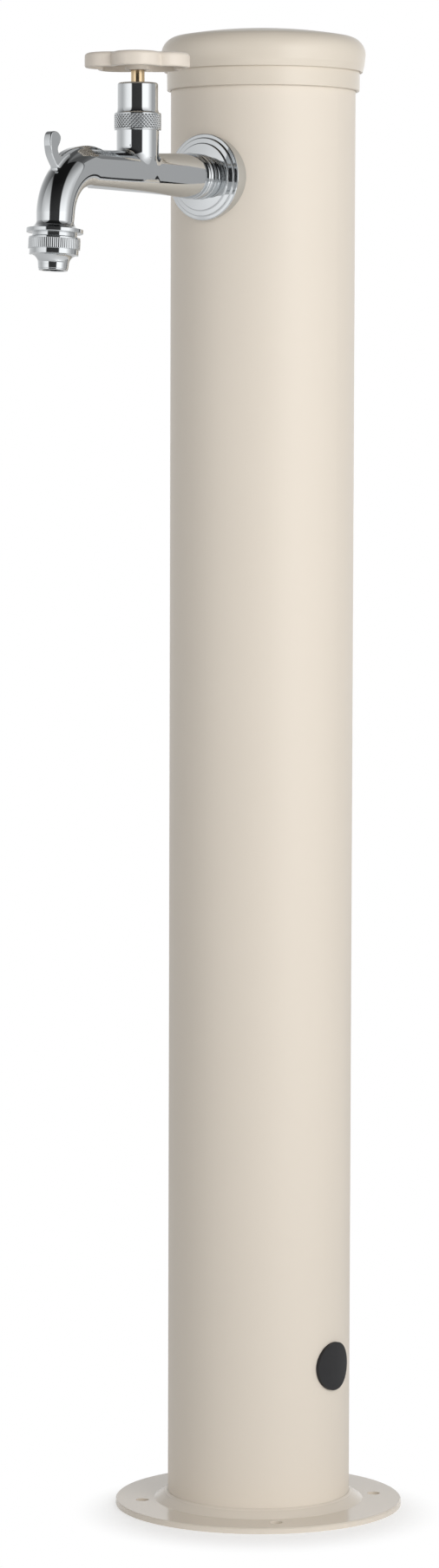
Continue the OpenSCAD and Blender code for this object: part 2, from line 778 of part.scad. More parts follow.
module compression_nut() {
    grip = compression_nut_len / 2;
    nose = olive_len / 3;
    difference() {
        translate([0, 0, -grip]) nut_blank(compression_af, compression_nut_len);
        translate([0, 0, -grip - cut]) cylinder(r = compression_r + thread_fit, h = grip + cut + nose);
        translate([0, 0, nose])
            cylinder(r1 = pipe_r + nose + pass_fit, r2 = pipe_r + pass_fit, h = nose + pass_fit);
        translate([0, 0, -cut]) cylinder(r = pipe_r + thread_fit, h = grip + 2 * cut);
    }
}

module elbow_frame() {
    translate([0, -elbow_u, tap_z - elbow_drop]) rotate([180, 0, 0]) children();
}

module inlet_elbow() {
    color(brass) difference() {
        union() {
            translate([0, -elbow_u, tap_z]) sphere(r = socket_d / 2);
            along_tap(elbow_u) cylinder(d = socket_d, h = elbow_reach);
            elbow_frame() translate([0, 0, -elbow_drop]) cylinder(r = compression_r, h = elbow_drop);
        }
        along_tap(elbow_u) cylinder(d = fitting_bore_d, h = elbow_reach + cut);
        along_tap(socket_u - socket_depth) cylinder(r = tail_r + thread_fit, h = socket_depth + cut);
        elbow_frame() translate([0, 0, -elbow_drop])
            cylinder(d = fitting_bore_d - thread_gap, h = elbow_drop);
        elbow_frame() translate([0, 0, -pipe_socket])
            cylinder(r = pipe_r + thread_fit, h = pipe_socket + cut);
        elbow_frame() translate([0, 0, -olive_len / 3])
            cylinder(r1 = pipe_r, r2 = pipe_r + olive_len / 3, h = olive_len / 3);
    }
}

module elbow_olive() {
    color(copper) elbow_frame() olive();
}

module elbow_nut() {
    color(brass) elbow_frame() compression_nut();
}

module supply_pipe() {
    color(copper) translate([0, -elbow_u, pipe_low_z])
        ring(pipe_r - pipe_wall, pipe_r, pipe_top_z - pipe_low_z);
}

module inlet_frame() {
    translate([0, -elbow_u, inlet_mouth_z]) children();
}

module inlet_nut() {
    color(brass) inlet_frame() compression_nut();
}

module inlet_olive() {
    color(copper) inlet_frame() olive();
}

module inlet_connector() {
    color(brass) {
        inlet_frame() compression_end(pipe_socket);
        translate([0, -elbow_u, inlet_h]) difference() {
            union() {
                cylinder(r = tail_r, h = inlet_thread_len);
                translate([0, 0, inlet_thread_len]) nut_blank(compression_af, inlet_hex_t);
            }
            translate([0, 0, -cut])
                cylinder(d = fitting_bore_d, h = inlet_thread_len + inlet_hex_t + 2 * cut);
        }
    }
}

module headwork_body() {
    color(brass) difference() {
        union() {
            up_bonnet(headwork_low_w)
                cylinder(r = chamber_r - thread_fit, h = headwork_depth + flat_washer_t);
            up_bonnet(headwork_seat_w) nut_blank(headwork_af, headwork_hex_h);
            up_bonnet(turret_w) cylinder(d = turret_d, h = turret_h);
            up_bonnet(gland_w) cylinder(d = gland_thread_d, h = gland_thread_h);
        }
        up_bonnet(headwork_low_w - cut) cylinder(r = foot_cavity_r, h = foot_cavity_w - headwork_low_w + cut);
        up_bonnet(headwork_low_w) cylinder(r = lift_bore_r, h = lift_cavity_w - headwork_low_w);
        up_bonnet(lift_cavity_w - cut) cylinder(r = spindle_bore_r, h = gland_thread_h + turret_h);
        up_bonnet(packing_floor_w) cylinder(r = packing_r, h = headwork_top_w - packing_floor_w + cut);
    }
}

module headwork_washer() {
    color(fibre_red) up_bonnet(bonnet_neck_h) ring(chamber_r, cover_in_r - pass_fit, flat_washer_t);
}

module bonnet_cover() {
    rim_r = knurl_d / 2;
    rim_edge = cover_wall / 3;
    wall_r = cover_d / 2;
    flare_r = rim_r - wall_r;
    color(chrome) up_bonnet(bonnet_neck_h) difference() {
        rotate_extrude() polygon(concat(
            [
                [0, 0], [rim_r - rim_edge, 0], [rim_r, rim_edge],
                [rim_r, knurl_h - rim_edge], [rim_r - rim_edge, knurl_h]
            ],
            [for (i = [1 : arc_steps]) let (a = 90 * i / arc_steps)
                [wall_r + (flare_r - rim_edge) * (1 - sin(a)), knurl_h + flare_h * (1 - cos(a))]],
            arc_points(wall_r - cover_edge, cover_h - cover_edge, cover_edge, 0, 90),
            [[0, cover_h]]
        ));
        difference() {
            translate([0, 0, -cut]) cylinder(r = cover_in_r, h = cover_h - cover_wall + cut);
            translate([0, 0, gland_w - bonnet_neck_h - cover_land_h])
                ring(turret_d / 2 + thread_fit, cover_in_r + cut, cover_land_h);
        }
        cylinder(r = spindle_d / 2 + 2 * pass_fit, h = cover_h + cut);
    }
}

module gland_nut() {
    skirt_w = packing_top_w - gland_nut_w;
    cavity = headwork_top_w + pass_fit - gland_nut_w;
    color(brass) up_bonnet(gland_nut_w) difference() {
        nut_blank(gland_af, gland_nut_h);
        translate([0, 0, -cut]) cylinder(r = packing_r, h = skirt_w + cut);
        difference() {
            translate([0, 0, -cut]) cylinder(r = gland_thread_d / 2 + thread_fit, h = cavity + cut);
            translate([0, 0, -2 * cut]) cylinder(r = packing_r - thread_fit, h = cavity + 3 * cut);
        }
        translate([0, 0, -cut]) cylinder(r = spindle_bore_r, h = gland_nut_h + 2 * cut);
    }
}

module gland_packing() {
    color(rubber_black) up_bonnet(packing_floor_w) ring(spindle_bore_r, packing_r - thread_fit, packing_h);
}

module spindle() {
    color(brass) difference() {
        union() {
            up_bonnet(foot_w) cylinder(d = spindle_foot_d, h = spindle_foot_h);
            up_bonnet(foot_w) cylinder(d = spindle_d, h = hub_w - foot_w);
            up_bonnet(lift_thread_low_w)
                cylinder(d = spindle_thread_d, h = lift_thread_top_w - lift_thread_low_w);
            up_bonnet(hub_w) rotate([0, 0, wheel_turn])
                translate([-square_w / 2, -square_w / 2, 0]) cube([square_w, square_w, square_top_w - hub_w]);
        }
        up_bonnet(foot_w - cut)
            cylinder(r = jumper_stem_d / 2 + thread_fit, h = jumper_stem_len + pass_fit + cut);
        up_bonnet(recess_w - screw_len - pass_fit)
            cylinder(r = screw_d / 2 + thread_fit, h = screw_len + cut);
    }
}

module valve_jumper() {
    color(brass) {
        up_bonnet(plate_w) cylinder(d = tap_washer_d, h = jumper_plate_t);
        up_bonnet(foot_w) cylinder(d = jumper_stem_d, h = jumper_stem_len);
        up_bonnet(seat_w - washer_nut_t) cylinder(d = spigot_d, h = tap_washer_t + washer_nut_t);
    }
}

module valve_washer() {
    color(rubber_black) up_bonnet(seat_w) ring(spigot_d / 2 + thread_fit, tap_washer_d / 2, tap_washer_t);
}

module washer_nut() {
    color(brass) up_bonnet(seat_w - washer_nut_t) difference() {
        hexagon(washer_nut_af, washer_nut_t);
        translate([0, 0, -cut]) cylinder(r = spigot_d / 2 + thread_fit, h = washer_nut_t + 2 * cut);
    }
}

// A disc whose upper and lower edges are rounded
module rounded_disc(r, h, edge) {
    rotate_extrude() polygon(concat(
        [[0, 0]],
        arc_points(r - edge, edge, edge, -90, 0),
        arc_points(r - edge, h - edge, edge, 0, 90),
        [[0, h]]
    ));
}

module at_lobes() {
    for (i = [0 : lobe_count - 1])
        rotate([0, 0, wheel_turn - 90 + 360 * i / lobe_count]) translate([lobe_reach, 0, 0]) children();
}

module wheel_outline(inset) {
    circle(r = wheel_core_r - inset);
    at_lobes() circle(r = lobe_d / 2 - inset);
}

module handwheel() {
    color(wheel_cream) up_bonnet(wheel_w) difference() {
        intersection() {
            linear_extrude(wheel_t) wheel_outline(0);
            rounded_disc(lobe_reach + lobe_d / 2, wheel_t, wheel_edge);
        }
        translate([0, 0, -cut]) linear_extrude(wheel_hollow + cut) difference() {
            wheel_outline(wheel_wall);
            circle(d = hub_d);
        }
        translate([0, 0, -cut]) cylinder(d = hub_d, h = hub_w - wheel_w + cut);
        translate([0, 0, -cut]) rotate([0, 0, wheel_turn])
            translate([-square_w / 2 - thread_fit, -square_w / 2 - thread_fit, 0])
                cube([square_w + thread_gap, square_w + thread_gap, wheel_t + 2 * cut]);
        translate([0, 0, wheel_t - screw_recess_h]) cylinder(d = screw_recess_d, h = screw_recess_h + cut);
    }
}

module wheel_washer() {
    color(chrome) up_bonnet(recess_w) ring(screw_d / 2 + pass_fit, screw_washer_d / 2, flat_washer_t);
}

module wheel_screw() {
    head_w = recess_w + flat_washer_t;
    head_h = wheel_top_w - head_w;
    color(chrome) difference() {
        union() {
            up_bonnet(recess_w - screw_len) cylinder(d = screw_d, h = screw_len + flat_washer_t);
            up_bonnet(head_w) rounded_disc(screw_head_d / 2, head_h, head_h / 4);
        }
        up_bonnet(wheel_top_w - head_h / 2) for (a = [0, 90])
            rotate([0, 0, a]) translate([-screw_head_d / 3, -head_h / 5, 0])
                cube([screw_head_d * 2 / 3, head_h * 2 / 5, head_h]);
    }
}

module nozzle_shell() {
    grip_r = grip_d / 2;
    band_r = band_d / 2;
    edge = nozzle_gap;
    low_r = cone_end_d / 2;
    end_r = outlet_d / 2;
    color(chrome) down_spout(0) difference() {
        rotate_extrude() polygon(concat(
            [
                [0, nozzle_s], [grip_r - edge, nozzle_s], [grip_r, nozzle_s + edge], [grip_r, band_s - edge],
                [grip_r - edge, band_s], [band_r, band_s], [band_r, cone_s - edge]
            ],
            [for (i = [0 : arc_steps]) let (a = 90 * i / arc_steps)
                [low_r + (band_r - edge - low_r) * (1 - sin(a)), cone_s + cone_len * (1 - cos(a))]],
            [[end_r, nozzle_end_s - edge], [end_r - edge, nozzle_end_s], [0, nozzle_end_s]]
        ));
        translate([0, 0, nozzle_s - cut])
            cylinder(r = spout_thread_r + thread_fit, h = nozzle_floor_s - nozzle_s + cut);
        translate([0, 0, nozzle_s]) cylinder(d = jet_d, h = nozzle_end_s - nozzle_s + cut);
    }
}

module nozzle_gasket() {
    color(rubber_black) down_spout(gasket_s) ring(spout_thread_r - gasket_w, spout_thread_r, gasket_t);
}

module jet_screen() {
    screen_r = spout_thread_r;
    reach = floor((jet_d - screen_hole_d) / 2 / screen_pitch);
    color(chrome) down_spout(screen_s) difference() {
        cylinder(r = screen_r, h = screen_t);
        for (i = [-reach : reach], j = [-reach : reach])
            if (norm([i, j]) * screen_pitch <= (jet_d - screen_hole_d) / 2)
                translate([i * screen_pitch, j * screen_pitch, -cut])
                    cylinder(d = screen_hole_d, h = screen_t + 2 * cut, $fn = 24);
    }
}

base_flange();
column_tube();
top_cap();
side_plug();
wall_rosette();
tap_body();
saddle_washer();
tail_backnut();
tail_washer();
inlet_elbow();
elbow_olive();
elbow_nut();
supply_pipe();
inlet_nut();
inlet_olive();
inlet_connector();
headwork_body();
headwork_washer();
bonnet_cover();
gland_nut();
gland_packing();
spindle();
valve_jumper();
valve_washer();
washer_nut();
handwheel();
wheel_washer();
wheel_screw();
nozzle_shell();
nozzle_gasket();
jet_screen();
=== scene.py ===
"""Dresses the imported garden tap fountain: chrome tap, cream wheel, coated column and a white studio."""

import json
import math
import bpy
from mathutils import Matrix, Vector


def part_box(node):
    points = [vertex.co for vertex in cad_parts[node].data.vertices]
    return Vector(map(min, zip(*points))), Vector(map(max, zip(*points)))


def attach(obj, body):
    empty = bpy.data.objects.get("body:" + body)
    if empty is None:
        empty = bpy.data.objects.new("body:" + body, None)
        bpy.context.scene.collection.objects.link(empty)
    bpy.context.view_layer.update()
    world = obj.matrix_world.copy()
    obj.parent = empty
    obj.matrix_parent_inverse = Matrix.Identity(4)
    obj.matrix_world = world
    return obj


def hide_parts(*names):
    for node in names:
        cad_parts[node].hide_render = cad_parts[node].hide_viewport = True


bl_info = {
    "name": "Garden Tap Fountain",
    "version": (1, 0, 0),
    "blender": (4, 5, 0),
    "location": "3D View > Sidebar > Fountain",
    "description": "Makes the tap, its wheel, the column's cap and the studio round the packed fountain",
    "category": "Add Mesh",
}

import bpy
import numpy as np
from bpy.props import FloatProperty, FloatVectorProperty, IntProperty, PointerProperty
from mathutils import Matrix, Vector

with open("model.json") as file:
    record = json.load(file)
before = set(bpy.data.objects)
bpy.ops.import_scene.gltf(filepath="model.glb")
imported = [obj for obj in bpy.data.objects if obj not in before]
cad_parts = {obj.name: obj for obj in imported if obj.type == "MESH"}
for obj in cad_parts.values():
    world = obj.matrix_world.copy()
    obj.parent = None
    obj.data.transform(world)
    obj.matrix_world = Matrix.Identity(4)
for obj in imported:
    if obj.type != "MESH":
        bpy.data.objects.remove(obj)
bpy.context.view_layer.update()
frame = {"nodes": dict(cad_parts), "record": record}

MM = 0.001

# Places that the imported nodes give
rosette_low, rosette_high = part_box("wall_rosette")
cover_low, cover_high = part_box("bonnet_cover")
cap_low, cap_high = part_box("top_cap")
wheel_low, wheel_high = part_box("handwheel")
tube_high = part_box("column_tube")[1]
body_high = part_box("tap_body")[1]
barrel_z = (rosette_low.z + rosette_high.z) / 2


def linear(code):
    """An sRGB hex colour as the linear colour that Blender's shaders take."""
    parts = [int(code[i : i + 2], 16) / 255 for i in (1, 3, 5)]
    return [p / 12.92 if p <= 0.04045 else ((p + 0.055) / 1.055) ** 2.4 for p in parts]


def metres(name, description, value):
    """A setting for a length in metres."""
    return FloatProperty(name=name, description=description, default=value, unit="LENGTH")


def degrees(name, description, value):
    """A setting for an angle."""
    return FloatProperty(name=name, description=description, default=math.radians(value), subtype="ANGLE")


def tint(name, description, code):
    """A setting for a colour, from its sRGB hex code."""
    return FloatVectorProperty(name=name, description=description, default=linear(code), subtype="COLOR")


class TapSizes(bpy.types.PropertyGroup):
    """The cast and turned sizes of the tap's body. Outwards is away from the column's axis."""

    axis_z: metres("Tap Height", "Height of the barrel's axis above the floor", barrel_z)
    tail_u: metres("Tail End", "Where the tail ends inside the column", -body_high.y)
    tail_r: metres("Tail Radius", "Radius over the tail's thread", 10.4775 * MM)
    face_u: metres("Rosette Face", "Where the rosette's face is", -rosette_low.y)
    neck_len: metres("Neck Length", "Length of the turned neck", 13 * MM)
    neck_r: metres("Neck Radius", "Radius of the turned neck's collars", 15.4 * MM)
    barrel_r: metres("Barrel Radius", "Radius of the barrel past the bonnet", 13.4 * MM)
    bonnet_u: metres("Bonnet Reach", "Where the bonnet's axis stands", -(cover_low.y + cover_high.y) / 2)
    bonnet_neck_r: metres("Bonnet Neck Radius", "Radius of the neck under the bonnet", 14.15 * MM)
    bonnet_neck_h: metres("Bonnet Neck Height", "From the barrel's axis to its top", body_high.z - barrel_z)
    collar_h: metres("Collar Height", "Height of that neck's turned top", 7 * MM)
    bend_u: metres("Bend Start", "Where the barrel starts to turn down", 194.4 * MM)
    bend_r: metres("Bend Radius", "Radius of the bend's centre line", 33 * MM)
    bend_tube_r: metres("Bend Tube Radius", "Radius of the tube where the bend starts", 13 * MM)
    spout_r: metres("Spout Radius", "Radius of the spout above its ring", 12.3 * MM)
    spout_lean: degrees("Spout Lean", "How far the spout leans outwards from straight down", 4)
    ring_s: metres("Ring Place", "How far below the bend the ring starts", 10 * MM)
    ring_t: metres("Ring Thickness", "Thickness of the ring", 3 * MM)
    ring_r: metres("Ring Radius", "Radius of the ring", 18.7 * MM)
    flare_len: metres("Flare Length", "Length of the flare above the ring", 5.2 * MM)
    shoulder_r: metres("Shoulder Radius", "Radius of the shoulder under the ring", 14.8 * MM)
    shoulder_len: metres("Shoulder Length", "Length of that shoulder", 2.6 * MM)
    thread_r: metres("Thread Radius", "Radius over the nozzle's thread", 13.22 * MM)
    thread_len: metres("Thread Length", "Length of the nozzle's thread", 7.6 * MM)
    thread_pitch: metres("Thread Pitch", "Pitch of 14 threads to the inch", 1.814 * MM)
    thread_depth: metres("Thread Depth", "Depth of the thread's grooves", 1.1 * MM)
    inlet_bore_r: metres("Inlet Bore", "Radius of the bore from the tail", 6 * MM)
    outlet_bore_r: metres("Outlet Bore", "Radius of the bore to the spout", 7 * MM)
    chamber_r: metres("Valve Chamber", "Radius of the valve chamber", 9.5 * MM)
    hook_t: metres("Hook Thickness", "Thickness of the bucket hook", 6 * MM)
    hook_edge: metres("Hook Edge", "Rounding of the hook's edges", 0.9 * MM)
    hook_fillet: metres("Hook Fillet", "Radius between the hook and the bend", 2.8 * MM)
    waist: metres("Neck Waist", "How far the bonnet's neck narrows towards the barrel", 2.2 * MM)
    waist_h: metres("Waist Height", "Height over which it narrows", 11 * MM)
    fillet: metres("Casting Fillet", "Radius between the barrel and the bonnet's neck", 3 * MM)
    cell: metres("Skin Cell", "Cell in which the cast body's skin is made", 0.72 * MM)


class RosetteSizes(bpy.types.PropertyGroup):
    """The stepped rosette against the column."""

    face_r: metres("Face Radius", "Radius of the face", 22.5 * MM)
    ring_r: metres("Ring Radius", "Radius of the middle step", 26.2 * MM)
    rim_r: metres("Rim Radius", "Radius of the outer step", 29.3 * MM)
    ring_drop: metres("Ring Drop", "How far the middle step lies behind the face", 1.7 * MM)
    rim_drop: metres("Rim Drop", "How far the outer step lies behind the middle one", 1.6 * MM)
    edge: metres("Edge", "Rounding of each step", 0.5 * MM)
    face_tilt: degrees("Face Tilt", "How far each step's face leans back", 5)
    taper_u: metres("Taper Length", "Length over which the back draws in", 20.75 * MM)
    taper: metres("Taper", "How far the back draws in", 2.5 * MM)


class BonnetSizes(bpy.types.PropertyGroup):
    """The bonnet cover, its rolled knurl and its flare."""

    band_r: metres("Band Radius", "Radius over the knurled band", cover_high.x)
    band_h: metres("Band Height", "Height of that band", 11.6 * MM)
    flare_h: metres("Flare Height", "Height of the flare above the band", 3.6 * MM)
    cover_r: metres("Cover Radius", "Radius of the cover", 13.5 * MM)
    cover_h: metres("Cover Height", "Height of the whole cover", cover_high.z - cover_low.z)
    cover_edge: metres("Top Edge", "Rounding of the cover's top edge", 1.4 * MM)
    wall: metres("Wall", "The cover's wall", 1.3 * MM)
    spindle_hole_r: metres("Spindle Hole", "Radius of the hole for the spindle", 5.1 * MM)
    diamonds_round: IntProperty(name="Diamonds", description="Diamonds round the band", default=40, min=8)
    diamond_h: metres("Diamond Height", "Height of one diamond of the knurl", 2.5 * MM)
    knurl_depth: metres("Knurl Depth", "Depth of the pits between the knurl's ridges", 0.9 * MM)


class NozzleSizes(bpy.types.PropertyGroup):
    """The screw-on nozzle, measured down the spout from the bend's end."""

    top_s: metres("Top", "Where the nozzle starts", 15.9 * MM)
    grip_r: metres("Grip Radius", "Radius over the grip's flutes", 17 * MM)
    grip_len: metres("Grip Length", "Length of the grip", 7.9 * MM)
    band_r: metres("Band Radius", "Radius of the plain band", 16.2 * MM)
    band_len: metres("Band Length", "Length of that band", 3.3 * MM)
    cone_r: metres("Cone End Radius", "Radius where the cone ends", 10.2 * MM)
    cone_len: metres("Cone Length", "Length of the cone", 6.2 * MM)
    outlet_r: metres("Outlet Radius", "Radius of the outlet", 9.9 * MM)
    outlet_len: metres("Outlet Length", "Length of the outlet below the cone", 4 * MM)
    socket_r: metres("Socket Radius", "Radius of the threaded socket", 13.27 * MM)
    floor_s: metres("Socket Floor", "Where the socket's floor is", 26.05 * MM)
    jet_r: metres("Jet Radius", "Radius of the water's way out", 7.5 * MM)
    flute_count: IntProperty(name="Flutes", description="Flutes round the grip", default=72, min=12)
    flute_r: metres("Flute Radius", "Radius of a reed between flutes", 1.5 * MM)


class WheelSizes(bpy.types.PropertyGroup):
    """The five-lobed handwheel."""

    low_z: metres("Wheel Height", "The wheel's underside", wheel_low.z)
    thickness: metres("Thickness", "Thickness of the wheel", wheel_high.z - wheel_low.z)
    lobes: IntProperty(name="Lobes", description="Lobes round the wheel", default=5, min=3)
    lobe_r: metres("Lobe Radius", "Radius of a lobe", 16.5 * MM)
    lobe_reach: metres("Lobe Reach", "From the axis to a lobe's centre", 19.4 * MM)
    core_r: metres("Core Radius", "Radius of the round core", 26.2 * MM)
    notch_r: metres("Notch Fillet", "Fillet in the notches between lobes", 0.6 * MM)
    edge: metres("Top Edge", "Rounding of the upper edge", 2.6 * MM)
    low_edge: metres("Lower Edge", "Rounding of the lower edge", 1.4 * MM)
    dome: metres("Dome", "How far the top falls to its edge", 0.7 * MM)
    wall: metres("Wall", "Wall round the hollow underside", 3 * MM)
    hollow: metres("Hollow", "Depth of the hollow", 5 * MM)
    hub_r: metres("Hub Radius", "Radius of the hub", 8.5 * MM)
    hub_drop: metres("Hub Drop", "How far the hub hangs below the rim", 1.1 * MM)
    hub_hole_r: metres("Hub Counterbore", "Radius round the spindle in the hub", 6.1 * MM)
    square: metres("Square Hole", "Side of the hole on the spindle", 6.3 * MM)
    recess_r: metres("Recess Radius", "Radius of the screw's recess", 7.5 * MM)
    recess_h: metres("Recess Depth", "Depth of that recess", 3.2 * MM)
    recess_edge: metres("Recess Edge", "Rounding of the recess's rim", 0.5 * MM)
    turn: degrees("Wheel Turn", "How the wheel stands at rest", 34.5)


class CapSizes(bpy.types.PropertyGroup):
    """The moulded cap on the column."""

    low_z: metres("Skirt Height", "The skirt's lower edge", cap_low.z)
    bore_r: metres("Bore", "Radius inside the skirt", 63.8 * MM)
    skirt_r: metres("Skirt Radius", "Radius of the skirt", 66.2 * MM)
    skirt_h: metres("Skirt Length", "Skirt below the dome's edge", 12.3 * MM)
    dome_r: metres("Dome Edge Radius", "Radius of the dome's lower edge", 68.1 * MM)
    wide_r: metres("Widest Radius", "Radius at the shoulder", cap_high.x)
    side_h: metres("Side Height", "From the dome's edge to the shoulder", 12.2 * MM)
    side_bow: metres("Side Bow", "Rounding of the side below the shoulder", 12 * MM)
    shoulder_r: metres("Shoulder", "Radius of the rounded shoulder", 12.6 * MM)
    crown_tilt: degrees("Crown Start", "How far round the shoulder goes", 80)
    wall: metres("Wall", "The moulding's wall", 2.4 * MM)


class Finishes(bpy.types.PropertyGroup):
    """Colours of the finishes."""

    oyster: tint("Oyster Coat", "The column's powder coat", "#e7ddcf")
    cap: tint("Oyster Cap", "The cap's moulded plastic", "#e1d7c8")
    wheel: tint("Cream Enamel", "The wheel's enamel", "#e6dccf")
    chrome: tint("Chrome", "Bright chrome plate", "#cfd2d4")
    brass: tint("Brass", "Turned brass", "#cda667")
    spindle: tint("Spindle Brass", "The spindle's polished brass", "#dcc4a0")
    copper: tint("Copper", "Dull drawn copper", "#c08a68")
    fibre: tint("Red Fibre", "Pressed fibre washers", "#9a4a3c")
    rubber: tint("Black Rubber", "Moulded rubber", "#1c1c1e")
    steel: tint("Screen Steel", "Perforated stainless steel", "#bdbfc0")


class StudioSettings(bpy.types.PropertyGroup):
    """The camera and the light of a plain white studio."""

    camera_azimuth: degrees("Camera Azimuth", "How far round the camera stands", 36.417)
    camera_distance: metres("Camera Distance", "From the column's axis", 3.32485)
    camera_height: metres("Camera Height", "Above the floor", 0.74183)
    camera_yaw: degrees("Camera Yaw", "Turned to the right", -0.495)
    camera_tilt: degrees("Camera Tilt", "Turned upwards", -4.067)
    camera_roll: degrees("Camera Roll", "Turned about its own view", 0.17)
    lens: FloatProperty(name="Lens", description="Focal length in millimetres", default=110.13)
    ambient: FloatProperty(name="Ambient", description="Light from all round", default=0.775)
    key_power: FloatProperty(name="Key Power", description="Power of the softbox", default=31.5, unit="POWER")
    key_azimuth: degrees("Key Azimuth", "How far round the softbox stands", 70)
    key_distance: metres("Key Distance", "From the column's axis", 2.3)
    key_height: metres("Key Height", "Above the floor", 1.05)
    key_width: metres("Key Width", "Width of the softbox", 1.5)
    key_tall: metres("Key Tallness", "Height of the softbox's face", 1.9)
    key_aim: metres("Key Aim", "Height on the column's axis that the softbox faces", 0.7)
    card_distance: metres("Card Distance", "From the bonnet to the grey card", 0.9)
    card_low: metres("Card Low", "The card's lower edge", 0.3)
    card_high: metres("Card High", "The card's upper edge", 1.7)
    floor_side: metres("Floor Side", "From the fountain to the floor's edges", 6.0)
    shade_ahead: metres("Shade Ahead", "How far the floor's shade lies towards the camera", 0.03)
    shade_near: metres("Shade Start", "Where the floor starts to turn white", 0.08)
    shade_far: metres("Shade End", "Where the floor is white", 0.132)
    floor_lift: FloatProperty(name="Floor Lift", description="Glow of the floor for the camera", default=0.38)


class FountainSettings(bpy.types.PropertyGroup):
    """All settings of the fountain."""

    tap: PointerProperty(type=TapSizes)
    rosette: PointerProperty(type=RosetteSizes)
    bonnet: PointerProperty(type=BonnetSizes)
    nozzle: PointerProperty(type=NozzleSizes)
    wheel: PointerProperty(type=WheelSizes)
    cap: PointerProperty(type=CapSizes)
    finish: PointerProperty(type=Finishes)
    studio: PointerProperty(type=StudioSettings)


def fountain(context):
    """This scene's settings."""
    return context.scene.tap_fountain


# Nodes and materials


def fill(tree, node, inputs):
    """Sets a node's inputs: each takes a value, an output, or a node for its first output in use."""
    for key, value in inputs.items():
        if isinstance(value, bpy.types.Node):
            value = next(end for end in value.outputs if end.enabled)
        if isinstance(value, bpy.types.NodeSocket):
            tree.links.new(value, node.inputs[key])
        else:
            node.inputs[key].default_value = value
    return node


def add(tree, kind, inputs=None, **settings):
    """Adds a node of that kind with its settings and its inputs."""
    node = tree.nodes.new(kind)
    for key, value in settings.items():
        setattr(node, key, value)
    return fill(tree, node, inputs or {})


def shaded(colour, factor):
    """A colour made lighter or darker, as four channels."""
    return [min(1.0, c * factor) for c in colour] + [1.0]


class Finish:
    """A material under way: its tree, its shader, its colour and the Object coordinates of its patterns."""

    def __init__(self, name, colour):
        self.material = bpy.data.materials.new(name)
        self.material.use_nodes = True
        self.tree = self.material.node_tree
        self.shader = self.tree.nodes["Principled BSDF"]
        self.place = add(self.tree, "ShaderNodeTexCoord").outputs["Object"]
        self.colour = colour

    def pattern(self, size, detail, tones=None, bump=None, stretch=None, roughness=0.5):
        """Noise of that size. It may tint the colour between two tones, raise the surface, and be stretched.

        Bump is a strength and a depth."""
        place = self.place
        if stretch:
            place = add(self.tree, "ShaderNodeMapping", {"Vector": place, "Scale": stretch})
        given = {"Vector": place, "Scale": 1 / size, "Detail": detail, "Roughness": roughness}
        noise = add(self.tree, "ShaderNodeTexNoise", given)
        if tones:
            dark, light = (shaded(self.colour, factor) for factor in tones)
            given = {"Factor": noise, "A": dark, "B": light}
            tone = add(self.tree, "ShaderNodeMix", given, data_type="RGBA")
            fill(self.tree, self.shader, {"Base Color": tone})
        if bump:
            strength, depth = bump
            given = {"Height": noise, "Strength": strength, "Distance": depth}
            fill(self.tree, self.shader, {"Normal": add(self.tree, "ShaderNodeBump", given)})
        return noise

    def done(self, inputs):
        """The material, once its shader has these inputs too."""
        fill(self.tree, self.shader, inputs)
        return self.material


def powder_coat(colour):
    """Polyester powder coat, baked on steel: an even satin skin, with fine orange peel and faint clouds."""
    finish = Finish("oyster_powder_coat", colour)
    # Clouds of film thickness, about 120 mm across
    cloud = finish.pattern(120 * MM, 2.0, tones=(0.985, 1.015))
    # Orange peel is about 1 mm across; drawn at 2 mm so that it shows at this distance
    finish.pattern(2 * MM, 2.0, bump=(0.25, 0.03 * MM))
    satin = add(finish.tree, "ShaderNodeMapRange", {"Value": cloud, "To Min": 0.4, "To Max": 0.48})
    # On the level flange the powder flows out glossier while it bakes
    height = add(finish.tree, "ShaderNodeSeparateXYZ", {"Vector": finish.place}).outputs["Z"]
    flange = {"Value": height, "From Min": 5 * MM, "From Max": 14 * MM, "To Min": 0.17, "To Max": satin}
    gloss = add(finish.tree, "ShaderNodeMapRange", flange)
    return finish.done({"Roughness": gloss, "IOR": 1.5})


def cap_plastic(colour):
    """ABS, moulded in a spark-textured tool: the coat's colour, a softer sheen and a fine even grain."""
    finish = Finish("oyster_cap_plastic", colour)
    finish.pattern(60 * MM, 1.0, tones=(0.985, 1.01))
    # Spark texture of 0.3 mm, drawn at 1.2 mm so that it shows
    finish.pattern(1.2 * MM, 3.0, bump=(0.2, 0.03 * MM))
    return finish.done({"Roughness": 0.3, "IOR": 1.53})


def chrome_plate(colour):
    """Bright nickel and chrome on polished brass: a mirror with the faint waves that hand polishing leaves.

    Polish and plate don't reach the pits of a knurl or a thread, so those stay dull; their colour is also
    painted nearly black there, as painted shade in the hollows."""
    finish = Finish("bright_chrome_plate", colour)
    tree = finish.tree
    # Polishing waves about 16 mm long
    finish.pattern(16 * MM, 1.0, bump=(0.3, 0.12 * MM))
    # Haze from handling, in spots of about 6 mm
    haze = finish.pattern(6 * MM, 3.0)
    gloss = add(tree, "ShaderNodeMapRange", {"Value": haze, "To Min": 0.03, "To Max": 0.075})
    depth = add(tree, "ShaderNodeAttribute", attribute_name="pit").outputs["Fac"]
    pit = add(tree, "ShaderNodeMapRange", {"Value": depth, "From Min": 0.7, "From Max": 1.0})
    dull = add(tree, "ShaderNodeMix", {"Factor": pit, "A": gloss, "B": 0.4})
    tones = {"Factor": haze, "A": shaded(colour, 0.985), "B": shaded(colour, 1.0)}
    tone = add(tree, "ShaderNodeMix", tones, data_type="RGBA")
    # Painted shade: deep in the pits the chrome's colour is drawn nearly black
    tones = {"Factor": pit, "A": tone, "B": shaded(colour, 0.14)}
    dark = add(tree, "ShaderNodeMix", tones, data_type="RGBA")
    return finish.done({"Base Color": dark, "Metallic": 1.0, "Roughness": dull})


